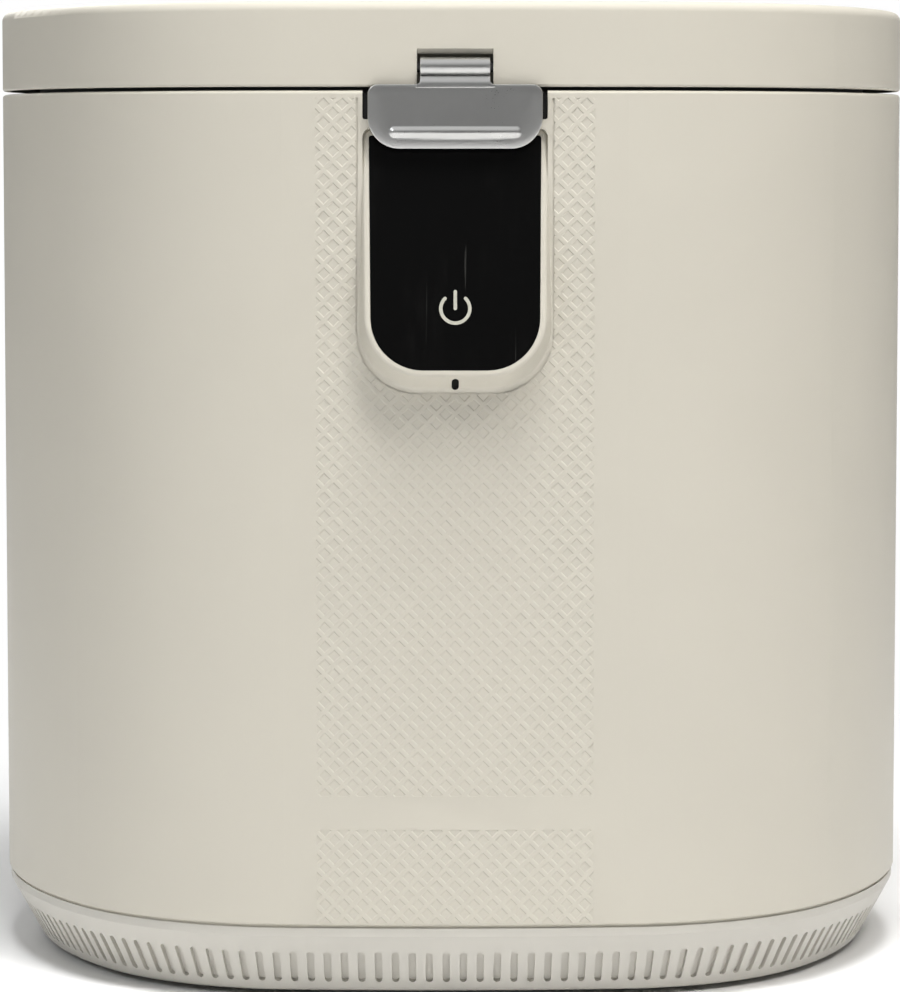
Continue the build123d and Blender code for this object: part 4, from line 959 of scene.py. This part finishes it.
def makeLatch(size):
    plate = plateBlank(size)
    seatRib(plate, makeRib(size), size)
    joinTo(plate, makeNeck(size))
    for vert in plate.data.vertices:
        vert.co.y += frontSkin(vert.co.x) - front["y"]
    joinTo(plate, makeKnuckle(size))
    bpy.ops.object.shade_smooth_by_angle(angle=size["smooth"])
    return plate


latch = makeLatch(latchPlate)
dress(latch, "latchPlate", "satin_metal", "latch")
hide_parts("latch_plate")
washers = makeWasher(latchPlate)
dress(washers, "latchWashers", "black_plastic", "latch")
print("latch plate:", len(latch.data.polygons), "faces")


# The soft hollow where the pod meets the front, widest under its chin.
flare = {
    "chin": 1.3 * mm,
    "side": 0.8 * mm,
    "top": 0.2 * mm,
    "topGap": 4 * mm,             # below the height where the pod's face meets the skin
    "flatSteps": 8,
    "cornerSteps": 24,
    "sideSteps": 24,
    "acrossSteps": 6,
    "root": 0.4 * mm,             # how deep its hidden edge lies
    "lap": 0.02 * mm,
    "smooth": math.radians(40),
}


def podFootprint(size):
    # Half of the pod's outline on the skin: along the chin, round the corner and up the side.
    # Each stop is (x, up, heading, width of the hollow), with up measured on the leaning face.
    low = (pod["foot"] - pod["flushHeight"]) / math.cos(pod["lean"])
    high = (pod["head"] - pod["flushHeight"]) / math.cos(pod["lean"])
    splay = math.tan(pod["lean"]) * math.tan(pod["draft"])
    flat = pod["halfFoot"] - pod["footCorner"]
    stops = []
    for step in range(size["flatSteps"]):
        stops.append((flat * step / size["flatSteps"], low + low * splay, 0.0, size["chin"]))
    for step in range(size["cornerSteps"] + 1):
        heading = math.pi / 2 * step / size["cornerSteps"]
        up = low
        for turn in range(4):     # each turn comes closer to the corner's true height
            grown = -up * splay
            radius = pod["footCorner"] + grown
            up = low - grown + radius * (1 - math.cos(heading))
        width = size["side"] + (size["chin"] - size["side"]) * math.cos(heading) ** 2
        stops.append((flat + radius * math.sin(heading), up, heading, width))
    cornerX, cornerUp = stops[-1][:2]
    last = -size["topGap"] / math.cos(pod["lean"])
    for step in range(1, size["sideSteps"] + 1):
        share = step / size["sideSteps"]
        up = cornerUp + (last - cornerUp) * share
        wide = (pod["halfTop"] - pod["halfFoot"]) * (up - cornerUp) / (high - low)
        x = cornerX + wide - (up - cornerUp) * splay
        stops.append((x, up, math.pi / 2, size["side"] + (size["top"] - size["side"]) * share))
    return stops


def hollowRing(stop, side, size):
    # One cross-section of the hollow, as places from the skin round to the pod's wall.
    x, up, heading, width = stop
    slant = math.tan(pod["draft"] + pod["lean"] * math.cos(heading))
    steps = size["acrossSteps"]
    places = []
    for step in range(steps + 1):
        turn = math.pi / 2 * step / steps
        forward = width * (1 - math.cos(turn))
        outward = width * (1 - math.sin(turn)) - forward * slant
        places.append((outward, forward))
    places[0] = (places[0][0], -size["lap"])
    places[-1] = (places[-1][0] - size["lap"], places[-1][1])
    places.append((-size["root"], -size["root"]))
    middle = pod["flushHeight"] + up / math.cos(pod["lean"])
    ring = []
    for outward, forward in places:
        across = x + outward * math.sin(heading)
        height = middle - outward * math.cos(heading)
        ring.append((side * across, frontSkin(across) - forward, height))
    return ring


def makeFlare(size):
    # Its width changes along the way, so the sections are placed one by one.
    half = podFootprint(size)
    rings = [hollowRing(stop, -1, size) for stop in reversed(half)]
    rings += [hollowRing(stop, 1, size) for stop in half[1:]]
    count = len(rings[0])
    last = len(rings) * count - 1
    faces = [list(range(count)), [last - index for index in range(count)]]
    for ring in range(len(rings) - 1):
        for index in range(count):
            after = (index + 1) % count
            here = ring * count
            there = here + count
            faces.append([here + index, here + after, there + after, there + index])
    mesh = bpy.data.meshes.new("podFlare")
    mesh.from_pydata([place for ring in rings for place in ring], [], faces)
    piece = bpy.data.objects.new("podFlare", mesh)
    bpy.context.scene.collection.objects.link(piece)
    editMode(piece)
    faceOutwards()
    objectMode()
    bpy.ops.object.shade_smooth_by_angle(angle=size["smooth"])
    return piece


podFlare = makeFlare(flare)
dress(podFlare, "podFlare", "warm_cream", "chassis")
print("pod flare:", len(podFlare.data.polygons), "faces")


# The status light's dark lens, upright in the chin.
lens = {
    "half": 1.25 * mm,
    "low": 215.9 * mm,
    "high": 220.25 * mm,
    "proud": 0.04 * mm,
    "deep": 1.2 * mm,
    "hollowShare": 0.4,           # of the flare's width that the lens may sink into
    "smooth": math.radians(30),
}


def chinDepth(z):
    # Depth of the chin's slope at this height, and no deeper than the flare.
    edge = front["y"] - (pod["flushHeight"] - pod["foot"]) * math.tan(pod["lean"])
    slope = math.tan(pod["lean"] + pod["draft"])
    return min(edge + (pod["foot"] - z) / slope, front["y"] - flare["chin"] * lens["hollowShare"])


def makeLens(size):
    middle = (size["low"] + size["high"]) / 2
    bpy.ops.mesh.primitive_circle_add(
        vertices=30, radius=size["half"], fill_type="NGON",
        location=(0, chinDepth(middle), middle), rotation=(math.pi / 2, 0, 0),
    )
    piece = bpy.context.object
    settle(piece)
    stretch = (size["high"] - size["low"]) / 2 - size["half"]
    for side in (-1, 1):
        pick(piece, "VERT", lambda place: (place.z - middle) * side > touching)
        bpy.ops.transform.translate(value=(0, 0, side * stretch))
    objectMode()
    for vert in piece.data.vertices:
        vert.co.y = chinDepth(vert.co.z) - size["proud"]
    editMode(piece)
    bpy.ops.mesh.select_all(action="SELECT")
    pull((0, size["deep"], 0))
    faceOutwards()
    objectMode()
    bpy.ops.object.shade_smooth_by_angle(angle=size["smooth"])
    return piece


statusLens = makeLens(lens)
dress(statusLens, "statusLens", "black_lens", "chassis")
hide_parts("status_window")
print("status lens:", len(statusLens.data.polygons), "faces")


# The floor, the light and the camera.
studio = {
    "floorColour": (0.94, 0.94, 0.94),
    "floorSize": 14.0,
    "floorFade": (0.30, 0.62),    # from the shaded floor to plain white
    "floorRough": 0.9,
    "floorShine": 0.1,
    "worldLevel": 0.12,
    "glossLow": 0.20,             # what gloss meets in front of the object
    "glossHigh": 0.85,            # and above it
    "glossFade": (0.15, 0.85),
}

lampAim = (0, 0, 0.17)
lamps = {
    "key": {
        "place": (0.9, -1.2, 2.0), "size": 0.6,
        "power": 22.0, "colour": (1.0, 0.975, 0.94), "inGloss": False,
    },
    "fill": {
        "place": (-1.7, -1.3, 1.7), "size": 1.0,
        "power": 9.5, "colour": (0.95, 0.975, 1.0), "inGloss": True,
    },
    "top": {
        "place": (0.1, -0.55, 1.9), "size": 0.7,
        "power": 33.0, "colour": (1.0, 1.0, 1.0), "inGloss": False,
    },
    "rear": {
        "place": (-0.9, 1.9, 1.5), "size": 1.2,
        "power": 14.0, "colour": (1.0, 1.0, 1.0), "inGloss": True,
    },
}


def softLamp(name, look):
    lamp = bpy.data.lights.new(name, "AREA")
    lamp.shape = "SQUARE"
    lamp.size = look["size"]
    lamp.energy = look["power"]
    lamp.color = look["colour"]
    holder = bpy.data.objects.new(name, lamp)
    holder.location = look["place"]
    holder.visible_glossy = look["inGloss"]
    aim = Vector(lampAim) - holder.location
    holder.rotation_euler = aim.to_track_quat("-Z", "Y").to_euler()
    bpy.context.scene.collection.objects.link(holder)


def seenBackground(wire):
    # One for camera rays and rays through glass. Gloss meets its own level in the world.
    direct = wire.add("ShaderNodeLightPath", out="Is Camera Ray")
    through = wire.add("ShaderNodeLightPath", out="Is Transmission Ray")
    return (direct + through).clamp()


def buildFloor(look):
    bpy.ops.mesh.primitive_plane_add(size=look["floorSize"], location=(0, 0, 0))
    floor = bpy.context.object
    floor.name = "floor"
    material, wire = startFinish("paleFloor")
    place = objectPlace(wire)
    dust = noise(wire, place, 6.0, 4.0)
    colour = dust.tint(rgb(look["floorColour"], 0.99), rgb(look["floorColour"], 1.01))
    away = wire.add("ShaderNodeVectorMath", {"operation": "LENGTH"}, {0: place}, out=1)
    near, far = look["floorFade"]
    blank = away.between(near, far) * seenBackground(wire)
    matt = wire.add(
        "ShaderNodeBsdfPrincipled", {},
        {
            "Base Color": colour,
            "Roughness": look["floorRough"],
            "Specular IOR Level": look["floorShine"],
        },
    )
    white = wire.add("ShaderNodeEmission", {}, {"Color": (1, 1, 1, 1), "Strength": 1.0})
    both = wire.add("ShaderNodeMixShader", {}, {0: blank, 1: matt, 2: white})
    wire.add("ShaderNodeOutputMaterial", {}, {"Surface": both})
    floor.data.materials.append(material)


def buildWorld(look):
    world = bpy.data.worlds.new("studio")
    bpy.context.scene.world = world
    world.use_nodes = True
    world.node_tree.nodes.clear()
    wire = Wire(world.node_tree)
    seen = seenBackground(wire)
    shine = wire.add("ShaderNodeLightPath", out="Is Glossy Ray")
    heading = wire.add("ShaderNodeTexCoord", out=0)
    up = wire.add("ShaderNodeSeparateXYZ", {}, {0: heading}, out=2)
    low, high = look["glossFade"]
    gloss = up.between(low, high) * (look["glossHigh"] - look["glossLow"]) + look["glossLow"]
    level = shine * (gloss - look["worldLevel"]) + look["worldLevel"]
    strength = seen * (1 - level) + level
    shade = wire.add("ShaderNodeBackground", {}, {"Color": (1, 1, 1, 1), "Strength": strength})
    wire.add("ShaderNodeOutputWorld", {}, {"Surface": shade})


cameraLook = {
    "place": (-13.77 * mm, -1552.36 * mm, 300.3 * mm),
    "tilt": math.radians(4.543),  # downwards
    "turn": 0.00856,              # towards the right
    "lens": 147.04,
    "sensor": 36,
    "rise": -0.0286,              # of the frame's taller side
    "nearest": 0.05,
}


def placeCamera(look):
    camera = bpy.data.cameras.new("camera")
    camera.lens = look["lens"]
    camera.sensor_width = look["sensor"]
    camera.shift_y = look["rise"]
    camera.clip_start = look["nearest"]
    holder = bpy.data.objects.new("camera", camera)
    holder.location = look["place"]
    holder.rotation_euler = (math.pi / 2 - look["tilt"], 0, -look["turn"])
    bpy.context.scene.collection.objects.link(holder)
    bpy.context.scene.camera = holder


buildFloor(studio)
buildWorld(studio)
for lampName, look in lamps.items():
    softLamp(lampName, look)
placeCamera(cameraLook)
bpy.context.scene.view_settings.view_transform = "Standard"
print("studio ready")
